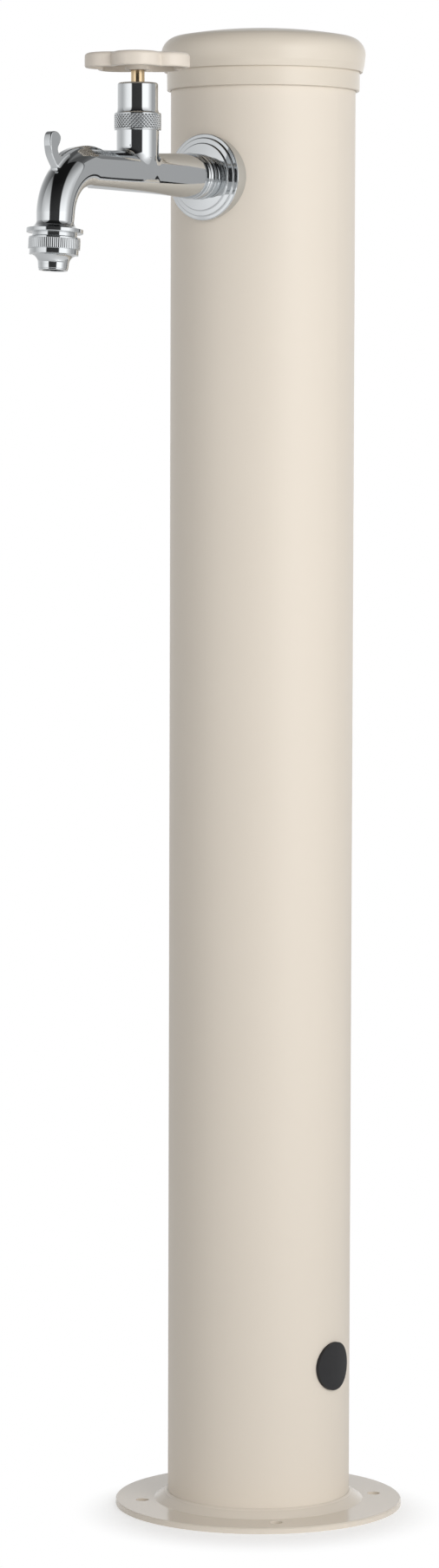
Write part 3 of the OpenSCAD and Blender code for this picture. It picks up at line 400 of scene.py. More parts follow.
def cream_enamel(colour):
    """Stoving enamel sprayed on a die-cast wheel: thick, warm and satin, a little uneven over the casting."""
    finish = Finish("stoved_cream_enamel", colour)
    finish.pattern(18 * MM, 2.0, tones=(0.97, 1.02))
    # The casting's unevenness under the enamel, about 5 mm across
    finish.pattern(5 * MM, 2.0, bump=(0.35, 0.1 * MM))
    return finish.done({"Roughness": 0.36, "IOR": 1.5})


def moulded_rubber(colour):
    """Moulded rubber: matt and nearly black, with the fine tooth and the grey bloom of a cheap mould."""
    finish = Finish("moulded_black_rubber", colour)
    finish.pattern(7 * MM, 3.0, tones=(0.85, 1.2))
    finish.pattern(0.8 * MM, 2.0, bump=(0.3, 0.04 * MM))
    return finish.done({"Roughness": 0.62, "IOR": 1.52})


def turned_brass(name, colour, dull):
    """Brass straight from the lathe: warm metal with fine tool marks; dull gives its roughness."""
    finish = Finish(name, colour)
    # Tool marks are 0.25 mm apart; drawn at 0.6 mm so that they show
    finish.pattern(0.6 * MM, 1.0, bump=(0.2, 0.01 * MM), roughness=0.4)
    tarnish = finish.pattern(9 * MM, 4.0, tones=(0.86, 1.06))
    gloss = add(finish.tree, "ShaderNodeMapRange", {"Value": tarnish, "To Min": dull, "To Max": dull * 1.5})
    return finish.done({"Metallic": 1.0, "Roughness": gloss})


def drawn_copper(colour):
    """Drawn copper tube: a dull pink-brown metal with lengthwise die lines and darker oxide clouds."""
    finish = Finish("drawn_copper_tube", colour)
    # Die lines run up the tube: the pattern is stretched thirty times along Z
    finish.pattern(0.7 * MM, 2.0, bump=(0.25, 0.02 * MM), stretch=(1.0, 1.0, 1 / 30))
    finish.pattern(22 * MM, 4.0, tones=(0.7, 1.1))
    return finish.done({"Metallic": 1.0, "Roughness": 0.34})


def pressed_fibre(colour):
    """Vulcanised fibre, pressed and stamped: matt brick red with short pale fibres."""
    finish = Finish("pressed_red_fibre", colour)
    finish.pattern(0.5 * MM, 3.0, tones=(0.75, 1.3), bump=(0.3, 0.03 * MM), stretch=(1.0, 0.25, 1.0))
    return finish.done({"Roughness": 0.7})


def screen_steel(colour):
    """Rolled stainless sheet, punched: a grey satin metal with rolling lines along one way."""
    finish = Finish("punched_screen_steel", colour)
    finish.pattern(0.3 * MM, 2.0, tones=(0.88, 1.08), bump=(0.2, 0.01 * MM), stretch=(1 / 25, 1.0, 1.0))
    return finish.done({"Metallic": 1.0, "Roughness": 0.3})


made_finishes = {}


def finish_of(slot):
    """The finish for one of the record's material slots, made when it is first asked for."""
    colours = fountain(bpy.context).finish
    makers = {
        "oyster_paint": (powder_coat, colours.oyster),
        "oyster_cap": (cap_plastic, colours.cap),
        "black_rubber": (moulded_rubber, colours.rubber),
        "chrome_plate": (chrome_plate, colours.chrome),
        "raw_brass": (turned_brass, "turned_raw_brass", colours.brass, 0.26),
        "spindle_brass": (turned_brass, "polished_spindle_brass", colours.spindle, 0.14),
        "copper_tube": (drawn_copper, colours.copper),
        "red_fibre": (pressed_fibre, colours.fibre),
        "cream_enamel": (cream_enamel, colours.wheel),
        "screen_steel": (screen_steel, colours.steel),
    }
    if slot not in made_finishes:
        maker, *given = makers[slot]
        made_finishes[slot] = maker(*given)
    return made_finishes[slot]


# Turned and lofted meshes

# A point nearer to the axis than this is on it
ON_AXIS = 1e-7


def unit(v):
    """A direction of length one."""
    return v / np.linalg.norm(v)


def arc(centre, radius, start, end, steps=12):
    """Points on an arc of an outline, in degrees, each with the way in which the arc runs there."""
    way = 1 if end > start else -1
    return [
        (
            centre[0] + radius * math.cos(a),
            centre[1] + radius * math.sin(a),
            (-way * math.sin(a), way * math.cos(a)),
        )
        for a in np.radians(np.linspace(start, end, steps + 1))
    ]


def swept(foot, wide, high, first, last, count):
    """Points on a hollow quarter ellipse, from one angle in degrees to another, each with the way it runs."""
    way = 1 if last > first else -1
    return [
        (
            foot[0] + wide * (1 - math.sin(a)),
            foot[1] + high * (1 - math.cos(a)),
            tuple(unit(np.array((-way * wide * math.cos(a), way * high * math.sin(a))))),
        )
        for a in np.radians(np.linspace(first, last, count))
    ]


def outline(corners, fine=9):
    """A closed outline as rows of radius, height, and the outward directions before and after the point.

    A corner is (radius, height, rounding), or (radius, height, way) on a curve."""
    spots = [np.array(c[:2], float) for c in corners]
    ways = [c[2] for c in corners]
    after = spots[1:] + spots[:1]
    area = sum(p[0] * q[1] - q[0] * p[1] for p, q in zip(spots, after))
    if area < 0:
        spots = spots[::-1]
        ways = [tuple(-v for v in w) if isinstance(w, tuple) else w for w in ways[::-1]]
    rows = []
    for i, (spot, way) in enumerate(zip(spots, ways)):
        before, following = spots[i - 1], spots[(i + 1) % len(spots)]
        into, out = unit(spot - before), unit(following - spot)
        if isinstance(way, tuple):
            rows.append((spot, np.array(way), np.array(way)))
        elif way <= 0:
            rows.append((spot, into, out))
        else:
            turn = math.atan2(into[0] * out[1] - into[1] * out[0], into @ out)
            cut = way * math.tan(abs(turn) / 2)
            room = 0.499 * min(np.linalg.norm(spot - before), np.linalg.norm(following - spot))
            cut = min(cut, room)
            radius = cut / math.tan(abs(turn) / 2)
            side = np.array([-into[1], into[0]]) * (1 if turn > 0 else -1)
            centre = spot - into * cut + side * radius
            steps = max(2, round(math.degrees(abs(turn)) / fine))
            for k in range(steps + 1):
                a = turn * k / steps
                spin = np.array([[math.cos(a), -math.sin(a)], [math.sin(a), math.cos(a)]])
                here = spin @ into
                rows.append((centre + spin @ (-side * radius), here, here))
    return [(p, np.array([a[1], -a[0]]), np.array([b[1], -b[0]])) for p, a, b in rows]


def turned(name, corners, place, steps=96, bend=None):
    """A mesh turned round +Z from an outline and put at its place, with the true curve's normals."""
    rows = outline(corners)
    angles = np.linspace(0, 2 * math.pi, steps, endpoint=False)
    ways = list(zip(np.cos(angles), np.sin(angles)))

    def spun(r, z):
        return [(r * x, r * y, z) for x, y in ways]

    spots, first = [], []
    for p, _, _ in rows:
        first.append(len(spots))
        spots += spun(*p) if p[0] > ON_AXIS else [(0.0, 0.0, p[1])]
    faces, normals = [], []
    for i, (p, _, leaving) in enumerate(rows):
        j = (i + 1) % len(rows)
        q, arriving, _ = rows[j]
        if max(p[0], q[0]) < ON_AXIS or np.linalg.norm(p - q) < 1e-9:
            continue
        here, there = first[i], first[j]
        low, high = spun(*leaving), spun(*arriving)
        for k in range(steps):
            m = (k + 1) % steps
            if p[0] < ON_AXIS:
                faces.append((here, there + m, there + k))
                normals += [low[k], high[m], high[k]]
            elif q[0] < ON_AXIS:
                faces.append((here + k, here + m, there))
                normals += [low[k], low[m], high[k]]
            else:
                faces.append((here + k, here + m, there + m, there + k))
                normals += [low[k], low[m], high[m], high[k]]
    spots = np.array(spots)
    if bend is not None:
        spots = bend(spots)
    mesh = bpy.data.meshes.new(name)
    mesh.from_pydata(spots.tolist(), [], faces)
    mesh.transform(place)
    mesh.shade_smooth()
    turn = np.array(place.to_3x3())
    mesh.normals_split_custom_set((np.array(normals) @ turn.T).tolist())
    return mesh


def joined(name, meshes, material):
    """One object of several closed meshes, with one finish."""
    spots, faces, normals, pits, count = [], [], [], [], 0
    for mesh in meshes:
        depth = np.zeros(len(mesh.vertices))
        if "pit" in mesh.attributes:
            mesh.attributes["pit"].data.foreach_get("value", depth)
        pits += depth.tolist()
        rows = np.empty(len(mesh.vertices) * 3)
        mesh.vertices.foreach_get("co", rows)
        spots += rows.reshape(-1, 3).tolist()
        faces += [[v + count for v in p.vertices] for p in mesh.polygons]
        normals += [tuple(n.vector) for n in mesh.corner_normals]
        count = len(spots)
    whole = bpy.data.meshes.new(name)
    whole.from_pydata(spots, [], faces)
    whole.shade_smooth()
    whole.normals_split_custom_set(normals)
    if any(pits):
        whole.attributes.new("pit", "FLOAT", "POINT").data.foreach_set("value", pits)
    whole.materials.append(material)
    for mesh in meshes:
        bpy.data.meshes.remove(mesh)
    return place_object(name, whole)


def place_object(name, mesh):
    """A new object at the origin with that mesh."""
    piece = bpy.data.objects.new(name, mesh)
    bpy.context.scene.collection.objects.link(piece)
    return piece


def settle(piece, body, slot, *nodes):
    """Puts a finished piece on its body and hides the nodes that it stands for; the slot is not used."""
    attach(piece, body)
    if nodes:
        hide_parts(*nodes)


def along_tap(u=0.0):
    """The place from which the barrel is turned: +Z runs outwards from the column's axis."""
    z = fountain(bpy.context).tap.axis_z
    return Matrix(((1, 0, 0, 0), (0, 0, -1, -u), (0, 1, 0, z), (0, 0, 0, 1)))


def up_bonnet(w=0.0):
    """The place from which the bonnet is turned: +Z runs up its axis."""
    tap = fountain(bpy.context).tap
    return Matrix.Translation((0, -tap.bonnet_u, tap.axis_z + w))


def bend_end(tap):
    """Where the bend ends, outwards and up from the tap's axis."""
    lean = tap.spout_lean
    return tap.bend_u + tap.bend_r * math.cos(lean), -tap.bend_r * (1 - math.sin(lean))


def down_spout():
    """The place from which the spout is turned: +Z runs down it from the bend's end."""
    tap = fountain(bpy.context).tap
    u, w = bend_end(tap)
    s, c = math.sin(tap.spout_lean), math.cos(tap.spout_lean)
    return Matrix(((1, 0, 0, 0), (0, -c, -s, -u), (0, s, -c, tap.axis_z + w), (0, 0, 0, 1)))


# Cast body

# The bucket hook and its rib, outwards and up from the tap's axis, in millimetres
HOOK_OUTLINE = (
    (219, -7.5), (224.5, -4.6), (228.2, -1.7), (230.1, 0.4), (232, 2.8), (233.5, 5), (234.9, 7.6),
    (235.8, 11), (236.2, 14.4), (236.1, 17.4), (235.3, 20.2), (233.9, 21.7), (231.8, 22.3), (229.4, 22.1),
    (227.2, 21.2), (225.7, 19.8), (225.1, 18.1), (225.4, 16.3), (226.5, 14.2), (227.6, 12.5), (228.1, 11),
    (227.8, 9.4), (227.0, 7.8), (225.8, 6.7), (224.2, 6.9), (218.6, 9.9), (211.3, 12.4), (203, 13.9),
    (196.8, 14.5), (191.3, 14.3), (187.6, 13.5), (184, 11.8), (184, 6), (198, 2), (212, -3),
)


def smooth_loop(points, steps=5):
    """A closed curve through the points, by Catmull and Rom's rule."""
    p = np.array(points, float)
    before, after, second = np.roll(p, 1, 0), np.roll(p, -1, 0), np.roll(p, -2, 0)
    rows = []
    for t in np.arange(steps) / steps:
        rows.append(
            0.5
            * (
                2 * p
                + (after - before) * t
                + (2 * before - 5 * p + 4 * after - second) * t**2
                + (-before + 3 * p - 3 * after + second) * t**3
            )
        )
    return np.stack(rows, 1).reshape(-1, 2)


def loop_distance(loop, u, w):
    """Distance from points to a closed loop, less than nought inside it."""
    nearest = np.full(u.shape, np.inf)
    inside = np.zeros(u.shape, bool)
    for (a_u, a_w), (b_u, b_w) in zip(loop, np.roll(loop, -1, 0)):
        run_u, run_w = b_u - a_u, b_w - a_w
        share = np.clip(((u - a_u) * run_u + (w - a_w) * run_w) / (run_u**2 + run_w**2), 0, 1)
        nearest = np.minimum(nearest, (u - a_u - share * run_u) ** 2 + (w - a_w - share * run_w) ** 2)
        if a_w != b_w:
            crosses = (a_w > w) != (b_w > w)
            inside ^= crosses & (u < run_u * (w - a_w) / run_w + a_u)
    return np.sqrt(nearest) * np.where(inside, -1, 1)


def filleted(a, b, radius):
    """The union of two solids, given as distances, with a round fillet between them."""
    reach = np.hypot(np.maximum(radius - a, 0), np.maximum(radius - b, 0))
    return np.maximum(radius, np.minimum(a, b)) - reach


class CastBody:
    """The barrel, bend, spout, bonnet neck and hook as one distance: less than nought inside the metal."""

    def __init__(self, tap):
        self.tap = tap
        self.hook = smooth_loop(HOOK_OUTLINE) * MM
        self.start_u = tap.face_u + tap.neck_len * 0.7
        self.end_s = tap.ring_s + tap.ring_t * 0.6
        # The box in which the skin is sought, across, outwards and up
        half_wide, below, past_bend = 18 * MM, 48 * MM, 56 * MM
        self.low = np.array([-half_wide, self.start_u - 2 * MM, -below])
        self.high = np.array([half_wide, tap.bend_u + past_bend, tap.bonnet_neck_h + 2 * MM])

    def tube(self, x, u, w, straight, bent, low):
        """A tube along the barrel, round the bend and down the spout, of those three radii."""
        tap = self.tap
        end_u, end_w = bend_end(tap)
        s_lean, c_lean = math.sin(tap.spout_lean), math.cos(tap.spout_lean)
        down = (u - end_u) * s_lean - (w - end_w) * c_lean
        across = (u - end_u) * c_lean + (w - end_w) * s_lean
        out_u, up_w = u - tap.bend_u, w + tap.bend_r
        barrel = np.hypot(x, w) - straight(u)
        bend = np.hypot(np.hypot(out_u, up_w) - tap.bend_r, x) - bent(np.arctan2(out_u, up_w))
        spout = np.hypot(across, x) - low(down)
        return np.where(u <= tap.bend_u, barrel, np.where(down < 0, bend, spout)), down

    def barrel_radius(self, u):
        """The barrel draws in from the neck to its own radius, then a little more to the bend."""
        tap = self.tap
        start = tap.face_u + tap.neck_len
        t = np.clip((u - start) / (0.85 * (tap.bonnet_u - start) + 20 * MM), 0, 1)
        late = np.clip((u - tap.bonnet_u) / (tap.bend_u - tap.bonnet_u), 0, 1)
        ease = late * late * (3 - 2 * late)
        from_neck = (tap.neck_r - 0.3 * MM - tap.barrel_r) * (1 - t) ** 2
        return tap.barrel_r + from_neck - ease * (tap.barrel_r - tap.bend_tube_r)

    def __call__(self, x, u, w):
        tap = self.tap
        wide, narrow = tap.bend_tube_r, (tap.bend_tube_r + tap.spout_r) / 2
        sweep, draw_in = math.pi / 2 - tap.spout_lean, 7 * MM

        def bend_radius(a):
            return wide - (wide - narrow) * np.clip(a / sweep, 0, 1)

        def spout_radius(s):
            return np.maximum(tap.spout_r, narrow - (narrow - tap.spout_r) * s / draw_in)

        tube, down = self.tube(x, u, w, self.barrel_radius, bend_radius, spout_radius)
        # The bonnet's neck narrows towards the barrel, and its top is left to the turned collar
        slack, below_top, into_barrel = 0.03 * MM, 3 * MM, 4 * MM
        low = np.clip(1 - w / tap.waist_h, 0, 1)
        neck_r = tap.bonnet_neck_r - slack - tap.waist * low * low * (3 - 2 * low)
        neck = np.maximum(np.hypot(x, u - tap.bonnet_u) - neck_r, w - tap.bonnet_neck_h + below_top)
        neck = np.maximum(neck, -w - into_barrel)
        metal = filleted(tube, neck, tap.fillet)
        # The hook's outline is only worked out near it
        half_wide, before_bend, below = 9 * MM, 16 * MM, 12 * MM
        near = (np.abs(x) < half_wide) & (u > tap.bend_u - before_bend) & (w > -below)
        plate = np.full(np.broadcast(x, u, w).shape, 1.0)
        xs, us, ws = np.broadcast_arrays(x, u, w)
        flat = loop_distance(self.hook, us[near], ws[near]) + tap.hook_edge
        side = np.abs(xs[near]) - tap.hook_t / 2 + tap.hook_edge
        outside = np.hypot(np.maximum(flat, 0), np.maximum(side, 0))
        plate[near] = outside + np.minimum(np.maximum(flat, side), 0) - tap.hook_edge
        metal = filleted(metal, plate, tap.hook_fillet)
        metal = np.maximum(metal, np.maximum(self.start_u - u, down * (u > tap.bend_u) - self.end_s))
        return np.maximum(metal, -self.water(x, u, w))

    def water(self, x, u, w):
        """The bores and the valve chamber, as a distance."""
        tap, gap = self.tap, 0.06 * MM
        past_stem = u - tap.bonnet_u
        # The inlet bore ends before the seat, and a smaller one under it leads the water there
        inlet_short, overlap, low_drop, low_r = 14 * MM, 6 * MM, 6.3 * MM, 4.8 * MM
        inlet_end = tap.bonnet_u - tap.chamber_r - inlet_short
        inlet = np.maximum(np.hypot(x, w) - tap.inlet_bore_r - gap, u - inlet_end)
        low_ends = np.maximum(inlet_end - overlap - u, past_stem)
        low = np.maximum(np.hypot(x, w + low_drop) - low_r, low_ends)
        # The seat's hole leads up into the chamber
        seat_r, seat_top, chamber_floor = 5.2 * MM, 2.5 * MM, 1.5 * MM
        seat = np.maximum(np.hypot(x, past_stem) - seat_r, np.maximum(-low_drop - w, w - seat_top))
        chamber = np.maximum(np.hypot(x, past_stem) - tap.chamber_r, chamber_floor - w)
        # A port leads from the chamber to the bore round the bend
        port_r, port_up, port_len, outlet_short = 3.5 * MM, 4.8 * MM, 9.75 * MM, 8 * MM
        port_ends = np.maximum(-past_stem, past_stem - tap.chamber_r - port_len)
        port = np.maximum(np.hypot(x, w - port_up) - port_r, port_ends)
        bore = tap.outlet_bore_r + gap
        out, _ = self.tube(x, u, w, lambda a: bore, lambda a: bore, lambda s: bore)
        out = np.maximum(out, tap.bonnet_u + tap.chamber_r + outlet_short - u)
        return np.minimum.reduce([inlet, low, seat, chamber, port, out])


def skinned(name, solid, cell):
    """The closed skin of a solid given as a distance: one vertex in each cell that the surface crosses."""
    axes = [np.arange(lo, hi + cell, cell) for lo, hi in zip(solid.low, solid.high)]
    grid = solid(axes[0][:, None, None], axes[1][None, :, None], axes[2][None, None, :])
    inside = grid < 0
    corners = [(i, j, k) for i in (0, 1) for j in (0, 1) for k in (0, 1)]
    count = [n - 1 for n in grid.shape]

    def shifted(array, c):
        return array[c[0] : c[0] + count[0], c[1] : c[1] + count[1], c[2] : c[2] + count[2]]

    full = sum(shifted(inside, c).astype(np.int8) for c in corners)
    cells = np.argwhere((full > 0) & (full < 8))
    index = np.full(count, -1, np.int64)
    index[tuple(cells.T)] = np.arange(len(cells))
    total, weight = np.zeros((len(cells), 3)), np.zeros(len(cells))
    for a in corners:
        for axis in range(3):
            if a[axis]:
                continue
            b = tuple(v + (n == axis) for n, v in enumerate(a))
            at_a, at_b = grid[tuple((cells + a).T)], grid[tuple((cells + b).T)]
            crossed = (at_a < 0) != (at_b < 0)
            share = np.where(crossed, at_a / np.where(crossed, at_a - at_b, 1), 0)
            spot = np.array(a) + share[:, None] * (np.array(b) - np.array(a))
            total += np.where(crossed[:, None], spot, 0)
            weight += crossed
    spots = solid.low + (cells + total / weight[:, None]) * cell

    def slope(at, step):
        parts = []
        for n in range(3):
            move = np.zeros(3)
            move[n] = step
            parts.append((solid(*(at + move).T) - solid(*(at - move).T)) / (2 * step))
        return np.stack(parts, 1)

    for _ in range(3):
        way = slope(spots, 0.05 * MM)
        move = solid(*spots.T)[:, None] * way / np.maximum((way**2).sum(1), 0.2)[:, None]
        spots -= np.clip(move, -cell, cell)
    way = slope(spots, 0.03 * MM)
    way /= np.maximum(np.linalg.norm(way, axis=1), 1e-9)[:, None]

    faces = []
    for axis in range(3):
        b, c = (axis + 1) % 3, (axis + 2) % 3
        near = np.moveaxis(inside, (axis, b, c), (0, 1, 2))
        cell_of = np.moveaxis(index, (axis, b, c), (0, 1, 2))
        crossed = near[:-1, 1:-1, 1:-1] != near[1:, 1:-1, 1:-1]
        i, j, k = np.nonzero(crossed)
        quad = np.stack([cell_of[i, j + m, k + n] for m, n in ((0, 0), (1, 0), (1, 1), (0, 1))], 1)
        leaving = near[i, j + 1, k + 1]
        faces.append(np.where(leaving[:, None], quad, quad[:, ::-1]))
    faces = np.concatenate(faces)

    tap = fountain(bpy.context).tap
    world = np.stack([spots[:, 0], -spots[:, 1], spots[:, 2] + tap.axis_z], 1)
    world_way = np.stack([way[:, 0], -way[:, 1], way[:, 2]], 1)
    mesh = bpy.data.meshes.new(name)
    mesh.from_pydata(world.tolist(), [], faces[:, ::-1].tolist())
    mesh.shade_smooth()
    mesh.normals_split_custom_set_from_vertices(world_way.tolist())
    return mesh


# Geometry Nodes

SOCKETS = {
    int: "NodeSocketInt",
    float: "NodeSocketFloat",
    tuple: "NodeSocketVector",
    bpy.types.Material: "NodeSocketMaterial",
}


def worked(name, mesh, steps, sizes, place, crease):
    """The plain mesh that a geometry tree makes of the given one, put at its place.

    The sizes become the tree's named inputs, and steps adds its nodes. Edges over the crease stay hard."""
    tree = bpy.data.node_groups.new(name, "GeometryNodeTree")
    tree.interface.new_socket("Geometry", in_out="OUTPUT", socket_type="NodeSocketGeometry")
    tree.interface.new_socket("Geometry", in_out="INPUT", socket_type="NodeSocketGeometry")
    sockets = {
        label: tree.interface.new_socket(label, in_out="INPUT", socket_type=SOCKETS[type(size)]).identifier
        for label, size in sizes.items()
    }
    given = add(tree, "NodeGroupInput").outputs
    real = add(tree, "GeometryNodeRealizeInstances", {"Geometry": steps(tree, given)})
    finished = add(tree, "GeometryNodeSetMaterial", {"Geometry": real, "Material": given["Finish"]})
    add(tree, "NodeGroupOutput", {"Geometry": finished})
    blank = place_object(name, mesh)
    modifier = blank.modifiers.new(name, "NODES")
    modifier.node_group = tree
    for label, identifier in sockets.items():
        modifier[identifier] = sizes[label]
    graph = bpy.context.evaluated_depsgraph_get()
    made = bpy.data.meshes.new_from_object(blank.evaluated_get(graph), depsgraph=graph)
    bpy.data.objects.remove(blank)
    bpy.data.meshes.remove(mesh)
    made.name = name
    made.transform(place)
    made.shade_smooth()
    made.set_sharp_from_angle(angle=math.radians(crease))
    return made


def rolled(tree, given, crossing=False):
    """Rolls a helical groove into a turned band, or crossing ones, and marks their depth as its pit."""
    place = add(tree, "GeometryNodeInputPosition")
    x, y, z = add(tree, "ShaderNodeSeparateXYZ", {"Vector": place}).outputs
    round_z = add(tree, "ShaderNodeMath", {0: y, 1: x}, operation="ARCTAN2")
    turns = add(tree, "ShaderNodeMath", {0: round_z, 1: 2 * math.pi}, operation="DIVIDE")
    turns = add(tree, "ShaderNodeMath", {0: turns, 1: given["Starts"]}, operation="MULTIPLY")
    rise = add(tree, "ShaderNodeMath", {0: z, 1: given["Lead"]}, operation="DIVIDE")
    right = add(tree, "ShaderNodeMath", {0: rise, 1: turns}, operation="ADD")
    ridge = add(tree, "ShaderNodeMath", {0: right, 1: 0.5}, operation="PINGPONG")
    if crossing:
        left = add(tree, "ShaderNodeMath", {0: rise, 1: turns}, operation="SUBTRACT")
        other = add(tree, "ShaderNodeMath", {0: left, 1: 0.5}, operation="PINGPONG")
        ridge = add(tree, "ShaderNodeMath", {0: ridge, 1: other, 2: 0.08}, operation="SMOOTH_MIN")
    # A groove falls away from a narrow ridge and is deepest half way to the next
    fall = {"Value": ridge, "From Min": 0.05, "From Max": 0.48}
    groove = add(tree, "ShaderNodeMapRange", fall, interpolation_type="SMOOTHSTEP")
    above = add(tree, "ShaderNodeMath", {0: z, 1: given["Low End"]}, operation="SUBTRACT")
    below = add(tree, "ShaderNodeMath", {0: given["High End"], 1: z}, operation="SUBTRACT")
    end = add(tree, "ShaderNodeMath", {0: above, 1: below}, operation="MINIMUM")
    fade = add(tree, "ShaderNodeMath", {0: end, 1: given["Run Out"]}, operation="DIVIDE", use_clamp=True)
    pit = add(tree, "ShaderNodeMath", {0: groove, 1: fade}, operation="MULTIPLY")
    depth = add(tree, "ShaderNodeMath", {0: pit, 1: given["Depth"]}, operation="MULTIPLY")
    inwards = add(tree, "ShaderNodeMath", {0: depth, 1: -1.0}, operation="MULTIPLY")
    flat = add(tree, "ShaderNodeCombineXYZ", {"X": x, "Y": y})
    reach = add(tree, "ShaderNodeVectorMath", {0: flat}, operation="LENGTH")
    outer = add(tree, "FunctionNodeCompare", {0: reach, 1: given["Band Radius"]}, operation="GREATER_THAN")
    way = add(tree, "ShaderNodeVectorMath", {0: flat}, operation="NORMALIZE")
    move = add(tree, "ShaderNodeVectorMath", {0: way, "Scale": inwards}, operation="SCALE")
    # The groove's depth is kept as the mask from which the chrome paints shade into the pits
    mark = {"Geometry": given["Geometry"], "Selection": outer, "Name": "pit", "Value": pit}
    marked = add(tree, "GeometryNodeStoreNamedAttribute", mark, data_type="FLOAT", domain="POINT")
    return add(tree, "GeometryNodeSetPosition", {"Geometry": marked, "Selection": outer, "Offset": move})


def knurled(tree, given):
    """Rolls a knurl: grooves that climb both ways and leave diamonds."""
    return rolled(tree, given, crossing=True)


def fluted(tree, given):
    """Sets round reeds upright round a grip."""
    ring = {"Vertices": given["Flutes"], "Radius": given["Circle Radius"]}
    circle = add(tree, "GeometryNodeMeshCircle", ring)
    reed = {"Vertices": 24, "Radius": given["Flute Radius"], "Depth": given["Flute Length"]}
    flute = add(tree, "GeometryNodeMeshCylinder", reed)
    spread = add(tree, "GeometryNodeInstanceOnPoints", {"Points": circle, "Instance": flute})
    return add(tree, "GeometryNodeTransform", {"Geometry": spread, "Translation": given["Middle"]})


def band_blank(name, low, high, outer, inner, rows, steps):
    """A closed ring with a fine outer face, ready to be rolled."""
    heights = np.linspace(low, high, rows + 1)
    corners = [(inner, low, 0)] + [(outer, h, (0.0, 1.0)) for h in heights] + [(inner, high, 0)]
    return turned(name, corners, Matrix.Identity(4), steps)


# Operators


class FOUNTAIN_OT_tap_body(bpy.types.Operator):
    """Make the cast and turned tap body with its bucket hook"""

    bl_idname = "fountain.tap_body"
    bl_label = "Tap Body"

    def execute(self, context):
        tap = fountain(context).tap
        chrome = finish_of("chrome_plate")
        cast = skinned("cast", CastBody(tap), tap.cell)
        neck = turned("neck", self.neck(tap), along_tap(), 144)
        high, low = tap.bonnet_neck_h, tap.bonnet_neck_h - tap.collar_h
        inner, outer = tap.chamber_r + 0.5 * MM, tap.bonnet_neck_r
        ring = [(inner, low, 0), (outer, low, 0), (outer, high, 0), (inner, high, 0)]
        collar = turned("collar", ring, up_bonnet(), 144)
        spout = turned("spout_ring", self.spout(tap), down_spout(), 144)
        piece = joined("tap_body", [cast, neck, collar, spout, self.thread(tap, chrome)], chrome)
        settle(piece, "column", "chrome_plate", "tap_body")
        return {"FINISHED"}

    def neck(self, tap):
        """The turned neck: tail, collar, bead, step, hollow and the last collar, as shares of its length."""
        u, n = tap.face_u, tap.neck_len
        bore, top, tail = tap.inlet_bore_r, tap.neck_r, tap.tail_r
        bead_r = 4.4 * MM
        bead = arc((top - 0.05 * MM - bead_r, u + n * 0.34), bead_r, -31, 31, 10)
        hollow = arc((top + 1.75 * MM, u + n * 0.79), 2.7 * MM, 216, 144, 8)
        return [
            (bore, tap.tail_u, 0), (tail - 0.6 * MM, tap.tail_u, 0), (tail, tap.tail_u + 0.8 * MM, 0),
            (tail, u, 0), (top - 0.2 * MM, u, 0), (top - 0.2 * MM, u + n * 0.1, 0.25 * MM),
            (top - 0.8 * MM, u + n * 0.12, 0.1 * MM), *bead,
            (top - 1.0 * MM, u + n * 0.54, 0.1 * MM), (top - 0.15 * MM, u + n * 0.56, 0.3 * MM),
            (top - 0.15 * MM, u + n * 0.64, 0.2 * MM), *hollow,
            (top, u + n * 0.935, 0.25 * MM), (top, u + n, 0.3 * MM),
            (top - 1.6 * MM, u + n + 0.2 * MM, 0), (bore, u + n, 0),
        ]

    def spout(self, tap):
        """The flare, ring, shoulder and the core under the thread, down the spout."""
        bore, r, s, deep = tap.outlet_bore_r, tap.spout_r, tap.ring_s, tap.flare_len
        shoulder = s + tap.ring_t
        low = shoulder + tap.shoulder_len
        end, core = low + tap.thread_len, tap.thread_r - 1.2 * MM
        flare = swept((r, s + 0.2 * MM), tap.ring_r - 0.5 * MM - r, -deep, 90, 4, 15)
        return [
            (bore, s - deep - 1 * MM, 0), (r - 0.6 * MM, s - deep - 1 * MM, 0), *flare,
            (tap.ring_r, s + 0.3 * MM, 0.3 * MM), (tap.ring_r, shoulder, 0.5 * MM),
            (tap.shoulder_r, shoulder, 0.15 * MM), (tap.shoulder_r, low, 0.3 * MM),
            (core, low, 0), (core, end, 0), (bore, end, 0),
        ]

    def thread(self, tap, chrome):
        """The nozzle's thread, rolled into a ring round the spout's core."""
        low = tap.ring_s + tap.ring_t + tap.shoulder_len
        end = low + tap.thread_len
        rows = 12 * round(tap.thread_len / tap.thread_pitch)
        blank = band_blank("spout_thread", low, end, tap.thread_r, tap.thread_r - 1.6 * MM, rows, 96)
        roll = {
            "Starts": 1,
            "Lead": tap.thread_pitch,
            "Depth": tap.thread_depth,
            "Band Radius": tap.thread_r - 0.1 * MM,
            "Low End": low - 0.5 * MM,
            "High End": end + 0.2 * MM,
            "Run Out": 0.8 * MM,
            "Finish": chrome,
        }
        return worked("spout_thread", blank, rolled, roll, down_spout(), 35)


